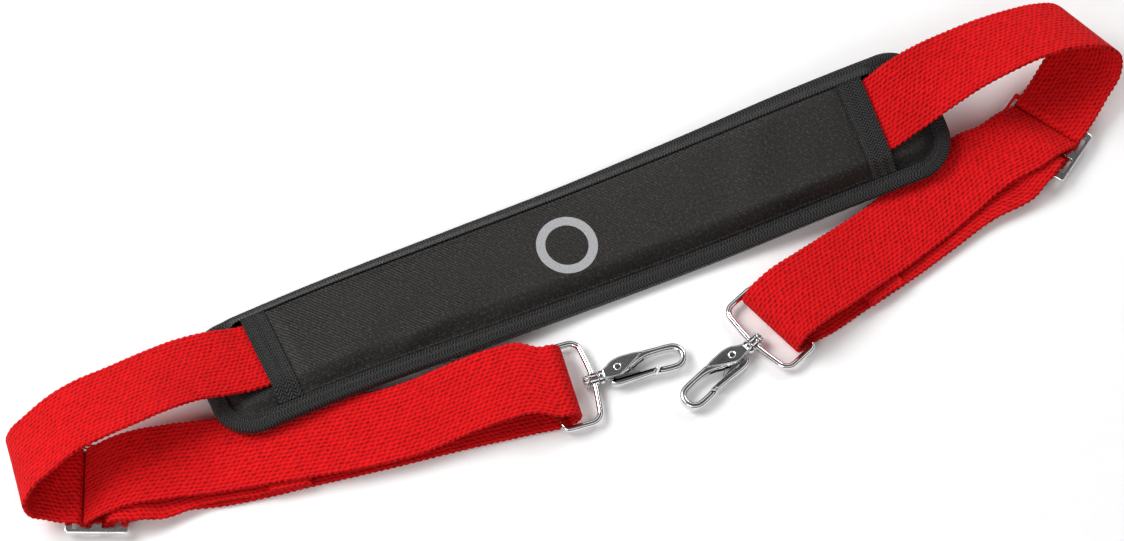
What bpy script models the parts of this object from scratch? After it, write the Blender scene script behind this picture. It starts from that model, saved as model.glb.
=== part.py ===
"""Padded instrument carrying strap, laid out on a table.

One length of red webbing runs through the sleeve of a black shoulder pad. At
each end it passes a three-bar slider, goes round the bar of a rectangular
ring, comes back over the slider's middle bar and ends in a stitched tab. Each
ring carries a swivel snap hook with a sprung gate.

Lengths are in millimetres in the tables and constants, and become metres when
a mesh is made. X runs along the pad, Y away from its near edge, Z up.
"""

import math

import bmesh
import bpy
from mathutils import Matrix, Vector

MM = 0.001
GAP = 0.35                      # space kept between pieces that touch

# Where the pad's own origin sits from the middle of the laid-out strap
PAD_ORIGIN = (-8.53, 35.59, -0.15)

# Webbing
WEB_WIDTH = 50.0
WEB_THICK = 2.8
WEB_STEP = 9.5                  # distance between cross-sections
LAYER = WEB_THICK + GAP         # pitch of two stacked layers of webbing
SOFT_GAP = 0.55                 # space kept between the pad's bent layers
LOWEST_WEB = WEB_THICK / 2 + 0.2 # middle of the lowest layer
TAB_LENGTH = 24.0
TAB_THICK = 2.2

# Shoulder pad: layers from the bottom up, as heights above its underside
PAD_LEFT, PAD_RIGHT = -241.0, 264.5
PAD_WIDTH = 86.0
PAD_CORNER = 26.0
SLEEVE_LEFT, SLEEVE_RIGHT = -202.0, 223.0
HEM_WIDTH = 16.0
BINDING_WIDTH = 10.5
BINDING_THICK = 0.9
CLOTH = 0.8
CORE_THICK = 4.0
TUNNEL_OFFSET = 6.0             # webbing lies this far towards the pad's far edge
MARK_RADIUS = 20.0

# Sliders
SLIDER_LENGTH = 40.0            # along the webbing
SLIDER_WIDTH = 59.0
SLIDER_BAR = 5.0
SLIDER_MIDDLE_BAR = 6.0
SLIDER_RAIL = 2.6
SLIDER_PLATE = 2.4
SLIDER_FLANGE = 3.0             # end rails turned down below the plate
SLIDER_BASE = 6.6               # underside of the plate above the table

# Rings
RING_WIRE = 4.2
RING_WIDTH = 60.0
RING_DEPTH = 31.0
RING_CORNER = 7.0
RING_BOW = 2.0                  # the front bar stands out this much at its middle
RING_HEIGHT = WEB_THICK + 0.2 + GAP + RING_WIRE / 2
FOLD_LENGTH = 11.0              # webbing stands this far past the ring's rear bar
FOLD_RADIUS = 9.4
BOSS_LENGTH = 6.4
BOSS_RADIUS = 4.6
BOSS_BORE = 2.45

# Snap hooks, along their own axis from the middle of the ring's front bar
SHANK_RADIUS = 2.1
COLLAR_START, COLLAR_END = 3.6, 6.6
COLLAR_RADIUS = 4.8
BUTTON_RADIUS = 4.6
HOOK_TIP = 61.5
HOOK_HALF = 9.3
HOOK_BAR = 4.6
HOOK_DEPTH = 6.6                # thickness of the loop
CHEEK_DEPTH = 8.8               # thickness of the broad end
GATE_SLOT = 3.6
GATE_TONGUE = 3.0
PIVOT = (16.5, 2.6)
PIVOT_RADIUS = 1.6
RIVET_HEAD = 2.7
SHANK_END = 6.9
SHANK_HEAD = 3.3


def material(name, colour, rough, metal=0.0):
    """Principled material with a plain colour."""
    mat = bpy.data.materials.new(name)
    mat.use_nodes = True
    shader = mat.node_tree.nodes["Principled BSDF"]
    shader.inputs["Base Color"].default_value = (*colour, 1.0)
    shader.inputs["Roughness"].default_value = rough
    shader.inputs["Metallic"].default_value = metal
    return mat


RED = (0.62, 0.008, 0.012)
DARK_RED = (0.45, 0.006, 0.01)
BLACK = (0.022, 0.020, 0.019)
RIBBED = (0.014, 0.013, 0.013)
FOAM = (0.08, 0.08, 0.085)
GREY = (0.55, 0.55, 0.56)
CHROME = (0.80, 0.80, 0.82)
BRIGHT = (CHROME, 0.1, 1.0)       # colour, roughness, metal
SPRING = (0.45, 0.45, 0.47)


def add_mesh(name, verts, faces, look, smooth_angle=30.0):
    """Make a mesh object from points in millimetres, shaded smooth."""
    mesh = bpy.data.meshes.new(name)
    mesh.from_pydata([tuple(c * MM for c in v) for v in verts], [], faces)
    bm = bmesh.new()
    bm.from_mesh(mesh)
    bmesh.ops.recalc_face_normals(bm, faces=bm.faces)
    bm.to_mesh(mesh)
    bm.free()
    mesh.shade_smooth()
    mesh.set_sharp_from_angle(angle=math.radians(smooth_angle))
    mesh.materials.append(material(name, *look))
    obj = bpy.data.objects.new(name, mesh)
    bpy.context.scene.collection.objects.link(obj)
    return obj


def loft(name, sections, look, closed=False, smooth_angle=30.0):
    """Skin equal rings of points; an open run is capped at both ends."""
    count = len(sections[0])
    verts = [p for section in sections for p in section]
    faces = []
    spans = len(sections) if closed else len(sections) - 1
    for i in range(spans):
        a = i * count
        b = ((i + 1) % len(sections)) * count
        for j in range(count):
            k = (j + 1) % count
            faces.append((a + j, a + k, b + k, b + j))
    if not closed:
        last = (len(sections) - 1) * count
        faces.append(tuple(range(count)))
        faces.append(tuple(last + j for j in reversed(range(count))))
    return add_mesh(name, verts, faces, look, smooth_angle)


def spline(rows, t):
    """Point of a smooth curve through rows that start with x, y, z.

    t counts rows. Slopes allow for the rows' unequal distances.
    """
    last = len(rows) - 1
    i = min(max(int(math.floor(t)), 0), last - 1)
    f = t - i
    p0, p1 = rows[max(i - 1, 0)], rows[i]
    p2, p3 = rows[i + 1], rows[min(i + 2, last)]
    before = max((Vector(p1[:3]) - Vector(p0[:3])).length, 0.001)
    here = max((Vector(p2[:3]) - Vector(p1[:3])).length, 0.001)
    after = max((Vector(p3[:3]) - Vector(p2[:3])).length, 0.001)
    out = []
    for a, b, c, d in zip(p0, p1, p2, p3):
        slope = (c - b) / here
        m1 = m2 = slope * here
        if i > 0:
            m1 = ((b - a) / before * here + slope * before) / (before + here) * here
        if i + 2 <= last:
            m2 = ((d - c) / after * here + slope * after) / (after + here) * here
        out.append((2 * f**3 - 3 * f**2 + 1) * b + (f**3 - 2 * f**2 + f) * m1
                   + (3 * f**2 - 2 * f**3) * c + (f**3 - f**2) * m2)
    return out


# --- the pad's bent surface ---------------------------------------------------

# x, y, height of the underside on the centre line, roll (far edge up)
PAD_LINE = [
    (-241.0, 8.0, 8.6, -11.0),
    (-150.0, 10.0, 7.2, -8.0),
    (-60.0, 9.8, 3.6, -3.0),
    (20.0, 9.0, 2.0, 1.0),
    (100.0, 7.0, 7.5, 8.0),
    (180.0, 3.6, 19.5, 15.0),
    (264.5, -1.0, 30.0, 19.0),
]


def pad_frame(u):
    """Centre point, along, across and up directions of the pad at x = u."""
    t = 0.0
    while t < len(PAD_LINE) - 2 and PAD_LINE[int(t) + 1][0] < u:
        t += 1.0
    low, high = t, t + 1.0
    for _ in range(30):
        t = (low + high) / 2
        if spline(PAD_LINE, t)[0] < u:
            low = t
        else:
            high = t
    here = spline(PAD_LINE, t)
    ahead = spline(PAD_LINE, min(t + 0.02, len(PAD_LINE) - 1))
    behind = spline(PAD_LINE, max(t - 0.02, 0.0))
    along = (Vector(ahead[:3]) - Vector(behind[:3])).normalized()
    roll = math.radians(here[3])
    across = Vector((0.0, math.cos(roll), math.sin(roll)))
    across = (across - along * across.dot(along)).normalized()
    return Vector(here[:3]), along, across, along.cross(across)


def pad_point(u, v, w):
    """Point u along, v towards the far edge and w above the pad's underside."""
    centre, along, across, up = pad_frame(min(max(u, PAD_LEFT), PAD_RIGHT))
    past = u - min(max(u, PAD_LEFT), PAD_RIGHT)
    return centre + along * past + across * v + up * w


def pad_half(u, inset=0.0):
    """Half width of the pad's rounded outline at x = u, drawn in by inset."""
    corner = PAD_CORNER - inset
    half = PAD_WIDTH / 2 - inset
    edge = min(u - (PAD_LEFT + inset), PAD_RIGHT - inset - u)
    if edge >= corner:
        return half
    edge = max(edge, 0.0)
    return half - corner + math.sqrt(max(corner**2 - (corner - edge)**2, 0.0))


def pad_stations(inset, low=PAD_LEFT, high=PAD_RIGHT):
    """Places along the pad, close together round its corners."""
    corner = PAD_CORNER - inset
    low, high = max(low, PAD_LEFT + inset), min(high, PAD_RIGHT - inset)
    arc = [corner * (1 - math.cos(math.radians(a))) for a in (0, 22, 42, 60, 76, 90)]
    places = [PAD_LEFT + inset + a for a in arc]
    places += [PAD_RIGHT - inset - a for a in arc]
    middle = PAD_RIGHT - PAD_LEFT - 2 * PAD_CORNER
    places += [PAD_LEFT + PAD_CORNER + middle * i / 24 for i in range(25)]
    places = sorted(p for p in places if low + 2.5 < p < high - 2.5)
    kept = [low]
    for place in places:
        if place - kept[-1] > 1.5:
            kept.append(place)
    return kept + [high]


# Heights of the pad's layers where they lie flat, and where the binding holds them
LAYER_BACKING = BINDING_THICK + GAP
LAYER_CORE = LAYER_BACKING + CLOTH + SOFT_GAP
LAYER_COVER = LAYER_CORE + CORE_THICK + SOFT_GAP
LAYER_WEB = LAYER_COVER + CLOTH + SOFT_GAP
LAYER_SLEEVE = LAYER_WEB + WEB_THICK + SOFT_GAP
EDGE_COVER = LAYER_BACKING + CLOTH + GAP
EDGE_SLEEVE = EDGE_COVER + CLOTH + GAP
CORE_EDGE = 0.6                 # thickness of the foam at its rim
CORE_INSET = 15.0
RIM_GAP = 0.7                   # the binding's top side stands this far off the cloth
NEAR_SHOULDER = TUNNEL_OFFSET - WEB_WIDTH / 2 - 0.6
FAR_SHOULDER = TUNNEL_OFFSET + WEB_WIDTH / 2 + 0.6


def ease(f):
    """Smooth step from 0 to 1."""
    f = min(max(f, 0.0), 1.0)
    return f * f * (3 - 2 * f)


def edge_distance(u, v):
    """How far a place lies inside the pad's rounded outline."""
    x = abs(u - (PAD_LEFT + PAD_RIGHT) / 2) - ((PAD_RIGHT - PAD_LEFT) / 2 - PAD_CORNER)
    y = abs(v) - (PAD_WIDTH / 2 - PAD_CORNER)
    outside = math.hypot(max(x, 0.0), max(y, 0.0))
    return PAD_CORNER - outside - min(max(x, y), 0.0)


def cover_height(u, v, start=11.0):
    """Underside of the cover, which rises over the foam from this far in."""
    return EDGE_COVER + (LAYER_COVER - EDGE_COVER) * ease((edge_distance(u, v) - start) / 8.0)


def sleeve_height(u, v):
    """Underside of the sleeve panel, which rises over the webbing."""
    if v < NEAR_SHOULDER:
        drop = ease((NEAR_SHOULDER - v) / 15.0)
    else:
        drop = ease((v - FAR_SHOULDER) / 9.5)
    own = LAYER_SLEEVE - (LAYER_SLEEVE - EDGE_SLEEVE) * drop
    return max(own, cover_height(u, v) + CLOTH + GAP)


def rim_height(u, v):
    """Underside of the binding's top side, above whichever cloth lies there."""
    near_hem = min(u - SLEEVE_LEFT, SLEEVE_RIGHT - u)
    share = ease((near_hem + 13.0) / 10.0)
    plain = cover_height(u, v) + CLOTH + RIM_GAP
    sleeved = sleeve_height(u, v) + CLOTH + RIM_GAP
    return plain + (sleeved - plain) * share


def slab(name, stations, places, low, high, look):
    """Cloth between two height functions, across the given places."""
    sections = []
    for u in stations:
        row = places(u)
        ring = [pad_point(u, v, high(u, v)) for v in row]
        ring += [pad_point(u, v, low(u, v)) for v in reversed(row)]
        sections.append(ring)
    return loft(name, sections, look, smooth_angle=40.0)


def spread(u, inset, offsets):
    """Places across the pad, drawn together where its ends are rounded."""
    share = pad_half(u, inset) / (PAD_WIDTH / 2 - inset)
    return [v * share for v in offsets]


def pad_backing():
    """Cloth under the foam."""
    return slab("pad_backing", pad_stations(2.0),
                lambda u: spread(u, 2.0, (-41.0, -20.0, 0.0, 20.0, 41.0)),
                lambda u, v: LAYER_BACKING,
                lambda u, v: LAYER_BACKING + CLOTH, (BLACK, 0.8))


def pad_core():
    """Closed-cell foam, thinned towards its edges."""
    return slab("pad_foam_core", pad_stations(CORE_INSET),
                lambda u: spread(u, CORE_INSET, (-28.0, -20.0, 0.0, 20.0, 28.0)),
                lambda u, v: LAYER_CORE,
                lambda u, v: max(LAYER_CORE + CORE_EDGE,
                                  cover_height(u, v, 13.5) - SOFT_GAP), (FOAM, 0.9))


COVER_PLACES = (-41.0, -32.0, -28.0, -24.0, 0.0, 24.0, 28.0, 32.0, 41.0)


def pad_cover():
    """Cloth over the foam and under the webbing."""
    return slab("pad_cover", pad_stations(2.0),
                lambda u: spread(u, 2.0, COVER_PLACES),
                cover_height,
                lambda u, v: cover_height(u, v) + CLOTH, (BLACK, 0.55))


SLEEVE_PLACES = [-41.0, -32.0, -28.0, -24.0, NEAR_SHOULDER, 0.0, FAR_SHOULDER - 8.0,
                 FAR_SHOULDER, FAR_SHOULDER + 2.2, FAR_SHOULDER + 4.8, FAR_SHOULDER + 7.4]


def pad_sleeve():
    """Outer panel that makes the tunnel for the webbing."""
    stations = [u for u in pad_stations(2.0) if SLEEVE_LEFT + 3 < u < SLEEVE_RIGHT - 3]
    return slab("sleeve_panel", [SLEEVE_LEFT] + stations + [SLEEVE_RIGHT],
                lambda u: SLEEVE_PLACES,
                sleeve_height,
                lambda u, v: sleeve_height(u, v) + CLOTH, (BLACK, 0.5))


def hem_tape(name, low):
    """Woven tape stitched over one end of the sleeve panel."""
    inner = PAD_WIDTH / 2 - BINDING_WIDTH - 0.5
    places = [v for v in SLEEVE_PLACES if abs(v) < inner - 1]
    base = CLOTH + SOFT_GAP
    return slab(name, [low + HEM_WIDTH * i / 3 for i in range(4)],
                lambda u: [-inner] + places + [inner],
                lambda u, v: sleeve_height(u, v) + base,
                lambda u, v: sleeve_height(u, v) + base + BINDING_THICK, (RIBBED, 0.75))


HEM_STATIONS = [SLEEVE_LEFT - 13.0, SLEEVE_LEFT - 3.0, SLEEVE_RIGHT + 3.0, SLEEVE_RIGHT + 13.0]


def outline_stations():
    """Places round the pad's outline, each with its outward direction."""
    places = []
    half_u = (PAD_RIGHT - PAD_LEFT) / 2 - PAD_CORNER
    half_v = PAD_WIDTH / 2 - PAD_CORNER
    middle = (PAD_LEFT + PAD_RIGHT) / 2
    corners = [(1, -1, -90), (1, 1, 0), (-1, 1, 90), (-1, -1, 180)]
    for side_u, side_v, start in corners:
        for step in range(6):
            angle = math.radians(start + 18 * step)
            out = (math.cos(angle), math.sin(angle))
            places.append((middle + side_u * half_u + PAD_CORNER * out[0],
                           side_v * half_v + PAD_CORNER * out[1], out))
        if side_u == side_v:
            run = [middle - half_u + half_u * 2 * i / 20 for i in range(1, 20)]
            run = [u for u in run if all(abs(u - hem) > 5 for hem in HEM_STATIONS)]
            for u in sorted(run + HEM_STATIONS, reverse=side_u > 0):
                places.append((u, side_v * (half_v + PAD_CORNER), (0.0, float(side_v))))
    return places


def pad_binding():
    """Folded tape that holds the cloth edges all the way round."""
    sections = []
    for u, v, out in outline_stations():
        def at(inset, height):
            return pad_point(u - out[0] * inset, v - out[1] * inset, height)

        def rim(inset):
            return rim_height(u - out[0] * inset, v - out[1] * inset)

        low, thick = 0.0, BINDING_THICK
        fold = rim(1.4)
        ring = [at(BINDING_WIDTH, low), at(0.7, low), at(0.0, 0.8), at(0.0, fold + 0.1),
                at(0.8, fold + thick)]
        ring += [at(i, rim(i) + thick) for i in (3.5, 6.0, 8.3, BINDING_WIDTH)]
        ring += [at(i, rim(i)) for i in (BINDING_WIDTH, 8.3, 6.0, 3.5)]
        ring += [at(1.4, fold), at(0.9, 1.4), at(1.4, thick), at(BINDING_WIDTH, thick)]
        sections.append(ring)
    return loft("pad_binding", sections, (RIBBED, 0.75), closed=True, smooth_angle=50.0)


def printed_mark():
    """Plain ring printed on the sleeve panel."""
    centre_u, centre_v = 7.3, -0.6
    sections = []
    for i in range(28):
        angle = 2 * math.pi * i / 28
        ring = []
        for radius, lift in ((MARK_RADIUS, 0.0), (MARK_RADIUS, 0.25),
                             (MARK_RADIUS - 6, 0.25), (MARK_RADIUS - 6, 0.0)):
            u = centre_u + radius * math.cos(angle)
            v = centre_v + radius * math.sin(angle)
            ring.append(pad_point(u, v, sleeve_height(u, v) + CLOTH + 0.3 + lift))
        sections.append(ring)
    return loft("printed_mark", sections, (GREY, 0.5), closed=True)


# --- webbing --------------------------------------------------------------------

# x, y, z of the middle of the webbing, turn of its width about Z, tilt (far edge up)
LEFT_ARCH = [
    (-223.0, 17.2, 23.5, 0.0, -6.5),
    (-245.0, 18.0, 31.5, 1.0, -11.0),
    (-268.0, 16.0, 39.0, 2.5, -14.0),
    (-291.0, 13.8, 43.0, 3.5, -14.5),
    (-311.0, 12.4, 45.0, 3.5, -14.0),
    (-329.0, 9.8, 45.0, 3.5, -16.0),
    (-347.0, 4.8, 42.0, 3.0, -16.5),
    (-360.5, 2.0, 35.0, 0.0, -16.0),
    (-366.5, -1.4, 26.0, -6.0, -12.0),
    (-363.0, -5.2, 17.5, -13.0, -7.0),
    (-353.0, -9.0, 12.8, -19.0, -2.0),
]
RIGHT_ARCH = [
    (240.0, 5.8, 43.0, 2.5, 19.0),
    (264.0, 9.8, 46.8, 1.5, 5.0),
    (285.0, 11.8, 48.8, 1.0, -6.0),
    (308.0, 12.6, 50.2, 2.0, -12.0),
    (332.0, 12.0, 51.0, 3.5, -17.0),
    (353.0, 9.8, 49.5, 8.0, -17.0),
    (370.0, 5.5, 44.0, 14.0, -13.0),
    (378.0, 0.0, 34.5, 20.0, -8.0),
    (373.5, -7.6, 23.5, 26.0, -4.0),
    (362.0, -14.2, 15.5, 29.0, -1.0),
]
# From the slider to the ring: bottom run, top run back, and the folded tail
LEFT_BOTTOM = [
    (-250.0, -39.5, 1.6, -15.0, 0.0),
    (-192.0, -50.5, 1.6, -11.5, 0.0),
    (-135.0, -59.8, 1.6, -9.5, 0.0),
    (-85.0, -67.5, 1.6, -8.0, 0.0),
    (-58.0, -72.3, 1.6, -7.5, 0.0),
]
LEFT_TOP = [
    (-54.0, -67.5, 21.0, -8.0, 0.0),
    (-72.0, -64.0, 19.5, -8.0, 0.0),
    (-92.0, -62.0, 16.0, -8.0, 0.0),
    (-130.0, -59.8, 11.5, -9.0, 0.0),
    (-170.0, -53.0, 10.9, -11.0, 0.0),
    (-200.0, -45.8, 10.9, -12.5, 0.0),
    (-226.0, -39.5, 10.9, -14.0, 0.0),
    (-252.0, -33.5, 10.8, -16.0, 0.0),
    (-280.0, -26.5, 14.3, -19.0, 0.0),
]
LEFT_TAIL = [
    (-262.0, -35.8, 5.4, -17.0, 0.0),
    (-230.0, -43.0, 4.9, -13.5, 0.0),
    (-199.0, -49.4, 4.8, -12.0, 0.0),
]
RIGHT_BOTTOM = [
    (268.0, -55.5, 1.6, 21.0, 0.0),
    (236.0, -62.5, 1.6, 17.0, 0.0),
    (190.0, -73.5, 1.6, 15.0, 0.0),
    (152.0, -82.0, 1.6, 16.5, 0.0),
    (131.0, -86.3, 1.6, 18.5, 0.0),
]
RIGHT_TOP = [
    (124.0, -85.3, 21.2, 20.0, 2.0),
    (143.0, -80.5, 18.5, 18.0, 2.0),
    (163.0, -75.5, 14.8, 17.0, 1.0),
    (190.0, -68.8, 10.6, 16.0, 0.0),
    (222.0, -59.5, 9.0, 16.0, 0.0),
    (250.0, -51.0, 9.6, 18.0, 0.0),
    (280.0, -43.0, 14.0, 24.0, 0.0),
]
RIGHT_TAIL = [
    (262.0, -58.2, 6.3, 20.0, 0.0),
    (228.0, -66.0, 4.9, 16.0, 0.0),
    (194.0, -74.6, 4.8, 15.5, 0.0),
    (165.0, -81.2, 4.8, 16.0, 0.0),
]
# slider and ring: place, turn and direction of the webbing that leads to the ring
LEFT_SLIDER = (-323.1, -23.9, -24.0, 1.0)
RIGHT_SLIDER = (321.5, -40.8, 32.5, -1.0)
LEFT_PASS = (-322.7, -23.0, -22.0, 1.0)         # the webbing lies a little askew in it
RIGHT_PASS = (321.0, -40.0, 30.5, -1.0)
LEFT_RING = (-13.5, -79.5, -7.0, 1.0)
RIGHT_RING = (89.0, -97.5, 20.0, -1.0)


def across_vector(turn, tilt):
    """Unit vector from the webbing's near edge to its far edge."""
    turn, tilt = math.radians(turn), math.radians(tilt)
    flat = math.cos(tilt)
    return Vector((-math.sin(turn) * flat, math.cos(turn) * flat, math.sin(tilt)))


def local_rows(frame, profile):
    """Turn (distance along, height, sideways shift) at a slider or ring into rows."""
    x, y, turn, way = frame
    angle = math.radians(turn)
    rows = []
    for along, height, *shift in profile:
        aside = shift[0] if shift else 0.0
        rows.append((x + way * math.cos(angle) * along - math.sin(angle) * aside,
                     y + way * math.sin(angle) * along + math.cos(angle) * aside,
                     height, turn, 0.0))
    return rows


def arc(centre, radius, start, end, count):
    """Points of a circular arc; the angles are in degrees."""
    pairs = []
    for i in range(count + 1):
        angle = math.radians(start + (end - start) * i / count)
        pairs.append((centre[0] + radius * math.cos(angle), centre[1] + radius * math.sin(angle)))
    return pairs


def wrap_pairs(before, after, drop):
    """Path under the slider's middle bar, standing out on each side and below it."""
    pairs = arc((-before + drop, SLIDER_BASE), drop, 180, 270, 5)
    return pairs + arc((after - drop, SLIDER_BASE), drop, 270, 360, 5)


def sleeve_rows(side):
    """The webbing inside the sleeve, from the pad's middle to one end."""
    low, high = (SLEEVE_LEFT - 2.0, 10.0) if side == "left" else (10.0, SLEEVE_RIGHT + 2.0)
    rows = []
    for i in range(13):
        u = low + (high - low) * i / 12
        _, _, across, _ = pad_frame(u)
        point = pad_point(u, TUNNEL_OFFSET, LAYER_WEB + WEB_THICK / 2)
        turn = math.degrees(math.atan2(-across.x, across.y))
        rows.append((*point, turn, math.degrees(math.asin(across.z))))
    return list(reversed(rows)) if side == "left" else rows


def side_route(side):
    """Route rows of one side, from the pad's middle to the tail's end, by stretch."""
    left = side == "left"
    slider = LEFT_PASS if left else RIGHT_PASS
    ring = LEFT_RING if left else RIGHT_RING
    over = SLIDER_BASE + SLIDER_PLATE + GAP + WEB_THICK / 2
    inner = GAP + WEB_THICK / 2
    down = [(-21.0, over + 0.6), (-17.5, over + 0.2), (-14.2, over + 0.1), (-12.6, 10.35),
            (-11.8, 9.0)]
    up_over = [(10.0, 8.9), (12.0, 10.9), (15.0, over + 0.35), (20.0, over + 0.3)]
    settle = [(24.0, over - 0.45, 1.0), (29.5, 8.0, 2.8), (38.0, 4.0, 5.8), (45.0, 2.4, 8.2)]
    fold_middle = -(RING_DEPTH - RING_WIRE) + FOLD_LENGTH - FOLD_RADIUS
    fold = arc((fold_middle, 1.6 + FOLD_RADIUS), FOLD_RADIUS, -90, 96, 9)
    come_down = [(20.0, over + 2 * LAYER + 1.4, 8.0), (10.0, over + 2 * LAYER + 0.7, 5.2),
                 (1.5, 14.9, 2.6), (-3.4, 12.3, 1.0), (-6.3, 10.9), (-7.6, 9.2)]
    tuck = [(6.4, 9.0), (7.3, 11.3), (9.8, 13.5), (14.0, over + LAYER + 0.6),
            (20.0, over + LAYER + 0.5), (29.0, over + 1.8, 0.9), (38.0, 8.8, 2.1)]
    return [
        ("middle", sleeve_rows(side)),
        ("arch", LEFT_ARCH if left else RIGHT_ARCH),
        ("outer_wrap", local_rows(slider, down + wrap_pairs(10.9, 9.5, inner + LAYER)
                                  + up_over)),
        ("bottom", local_rows(slider, settle) + (LEFT_BOTTOM if left else RIGHT_BOTTOM)
         + local_rows(ring, fold[:6])),
        ("top", local_rows(ring, fold[6:]) + (LEFT_TOP if left else RIGHT_TOP)
         + local_rows(slider, come_down)),
        ("inner_wrap", local_rows(slider, wrap_pairs(7.4, 6.1, inner) + tuck[:5])),
        ("tail", local_rows(slider, tuck[5:]) + (LEFT_TAIL if left else RIGHT_TAIL)),
    ]


def stretch_rows(side):
    """Rows and directions of each stretch, cut from one smooth route."""
    parts = side_route(side)
    rows = [row for _, part in parts for row in part]

    def place_at(t):
        ahead = Vector(spline(rows, min(t + 0.02, len(rows) - 1))[:3])
        behind = Vector(spline(rows, max(t - 0.02, 0.0))[:3])
        row = list(spline(rows, t))
        row[2] = max(row[2], LOWEST_WEB)
        return row, (ahead - behind).normalized()

    stretches = {}
    at = 0
    for name, part in parts:
        first = at
        at += len(part)
        last = min(at, len(rows) - 1)
        out = []
        for i in range(first, last):
            gap = (Vector(rows[i + 1][:3]) - Vector(rows[i][:3])).length
            steps = max(1, round(gap / WEB_STEP))
            out += [place_at(i + k / steps) for k in range(steps)]
        out.append(place_at(float(last)))
        stretches[name] = trimmed(out)
    return stretches


def trimmed(places):
    """Both ends drawn in, so that neighbouring stretches don't touch."""
    for index, way in ((0, 1), (-1, -1)):
        row, along = places[index]
        shift = along * way * GAP / 2
        places[index] = ([a + b for a, b in zip(row[:3], shift)] + row[3:], along)
    return places


def web_section(row, along, half=WEB_WIDTH / 2, thick=WEB_THICK / 2):
    """Flat section of webbing with eased edges."""
    across = across_vector(row[3], row[4])
    up = along.cross(across).normalized()
    shape = [(-half, 0.0), (-half + 1.2, thick), (half - 1.2, thick),
             (half, 0.0), (half - 1.2, -thick), (-half + 1.2, -thick)]
    return [Vector(row[:3]) + across * a + up * b for a, b in shape]


def ribbon(name, places):
    """Webbing along a route."""
    return loft(name, [web_section(*place) for place in places], (RED, 0.8),
                smooth_angle=50.0)


def webbing():
    """All webbing stretches; the two middles are one piece."""
    left, right = stretch_rows("left"), stretch_rows("right")
    middle = [(row, -along) for row, along in reversed(left.pop("middle"))]
    ribbon("webbing_in_sleeve", middle[:-1] + right.pop("middle"))
    for side, stretches in (("left", left), ("right", right)):
        for name, places in stretches.items():
            ribbon(f"webbing_{side}_{name}", places)
            if name == "tail":
                tail_tab(side, places)


def tail_tab(side, places):
    """The tail's end, folded back on top of itself and sewn."""
    length = 0.0
    end = Vector(places[-1][0][:3])
    lift = WEB_THICK / 2 + GAP + TAB_THICK / 2
    sections = []
    for row, along in reversed(places):
        length = (Vector(row[:3]) - end).length
        raised = [row[0], row[1], row[2] + lift, *row[3:]]
        sections.append(web_section(raised, along, WEB_WIDTH / 2 - 0.5, TAB_THICK / 2))
        if length > TAB_LENGTH:
            break
    return loft(f"tail_tab_{side}", sections, (DARK_RED, 0.8))


# --- metal parts ------------------------------------------------------------------

def outline_prism(name, points, low, high, look, chamfer=0.0):
    """Solid between two heights from a flat outline, with chamfered rims."""
    rings = []
    if chamfer:
        inner = inset_outline(points, chamfer)
        rings = [(inner, low), (points, low + chamfer), (points, high - chamfer), (inner, high)]
    else:
        rings = [(points, low), (points, high)]
    sections = [[Vector((x, y, z)) for x, y in ring] for ring, z in rings]
    return loft(name, sections, look, smooth_angle=50.0)


def inset_outline(points, amount):
    """Outline drawn in by an amount, for an anticlockwise list of points."""
    out = []
    count = len(points)
    for i in range(count):
        before = Vector(points[i - 1])
        here = Vector(points[i])
        after = Vector(points[(i + 1) % count])
        one, two = (here - before).normalized(), (after - here).normalized()
        normal = (Vector((-one.y, one.x)) + Vector((-two.y, two.x))).normalized()
        scale = amount / max(normal.dot(Vector((-one.y, one.x))), 0.45)
        out.append(tuple(here + normal * scale))
    return out


def turned(name, profile, look, sides=20):
    """Solid of revolution about X from (x, radius) pairs."""
    sections = []
    for x, radius in profile:
        sections.append([Vector((x, radius * math.cos(2 * math.pi * k / sides),
                                 radius * math.sin(2 * math.pi * k / sides)))
                         for k in range(sides)])
    return loft(name, sections, look)


def boolean(target, tool, operation):
    """Apply an exact Boolean and remove the tool."""
    mod = target.modifiers.new(operation.lower(), "BOOLEAN")
    mod.operation = operation
    mod.solver = "EXACT"
    mod.object = tool
    bpy.context.view_layer.update()
    graph = bpy.context.evaluated_depsgraph_get()
    mesh = bpy.data.meshes.new_from_object(target.evaluated_get(graph))
    target.modifiers.clear()
    target.data = mesh
    bpy.data.objects.remove(tool)
    bm = bmesh.new()
    bm.from_mesh(mesh)
    bmesh.ops.remove_doubles(bm, verts=bm.verts, dist=0.00001)
    bm.to_mesh(mesh)
    bm.free()
    mesh.shade_smooth()
    mesh.set_sharp_from_angle(angle=math.radians(35))
    return target


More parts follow.
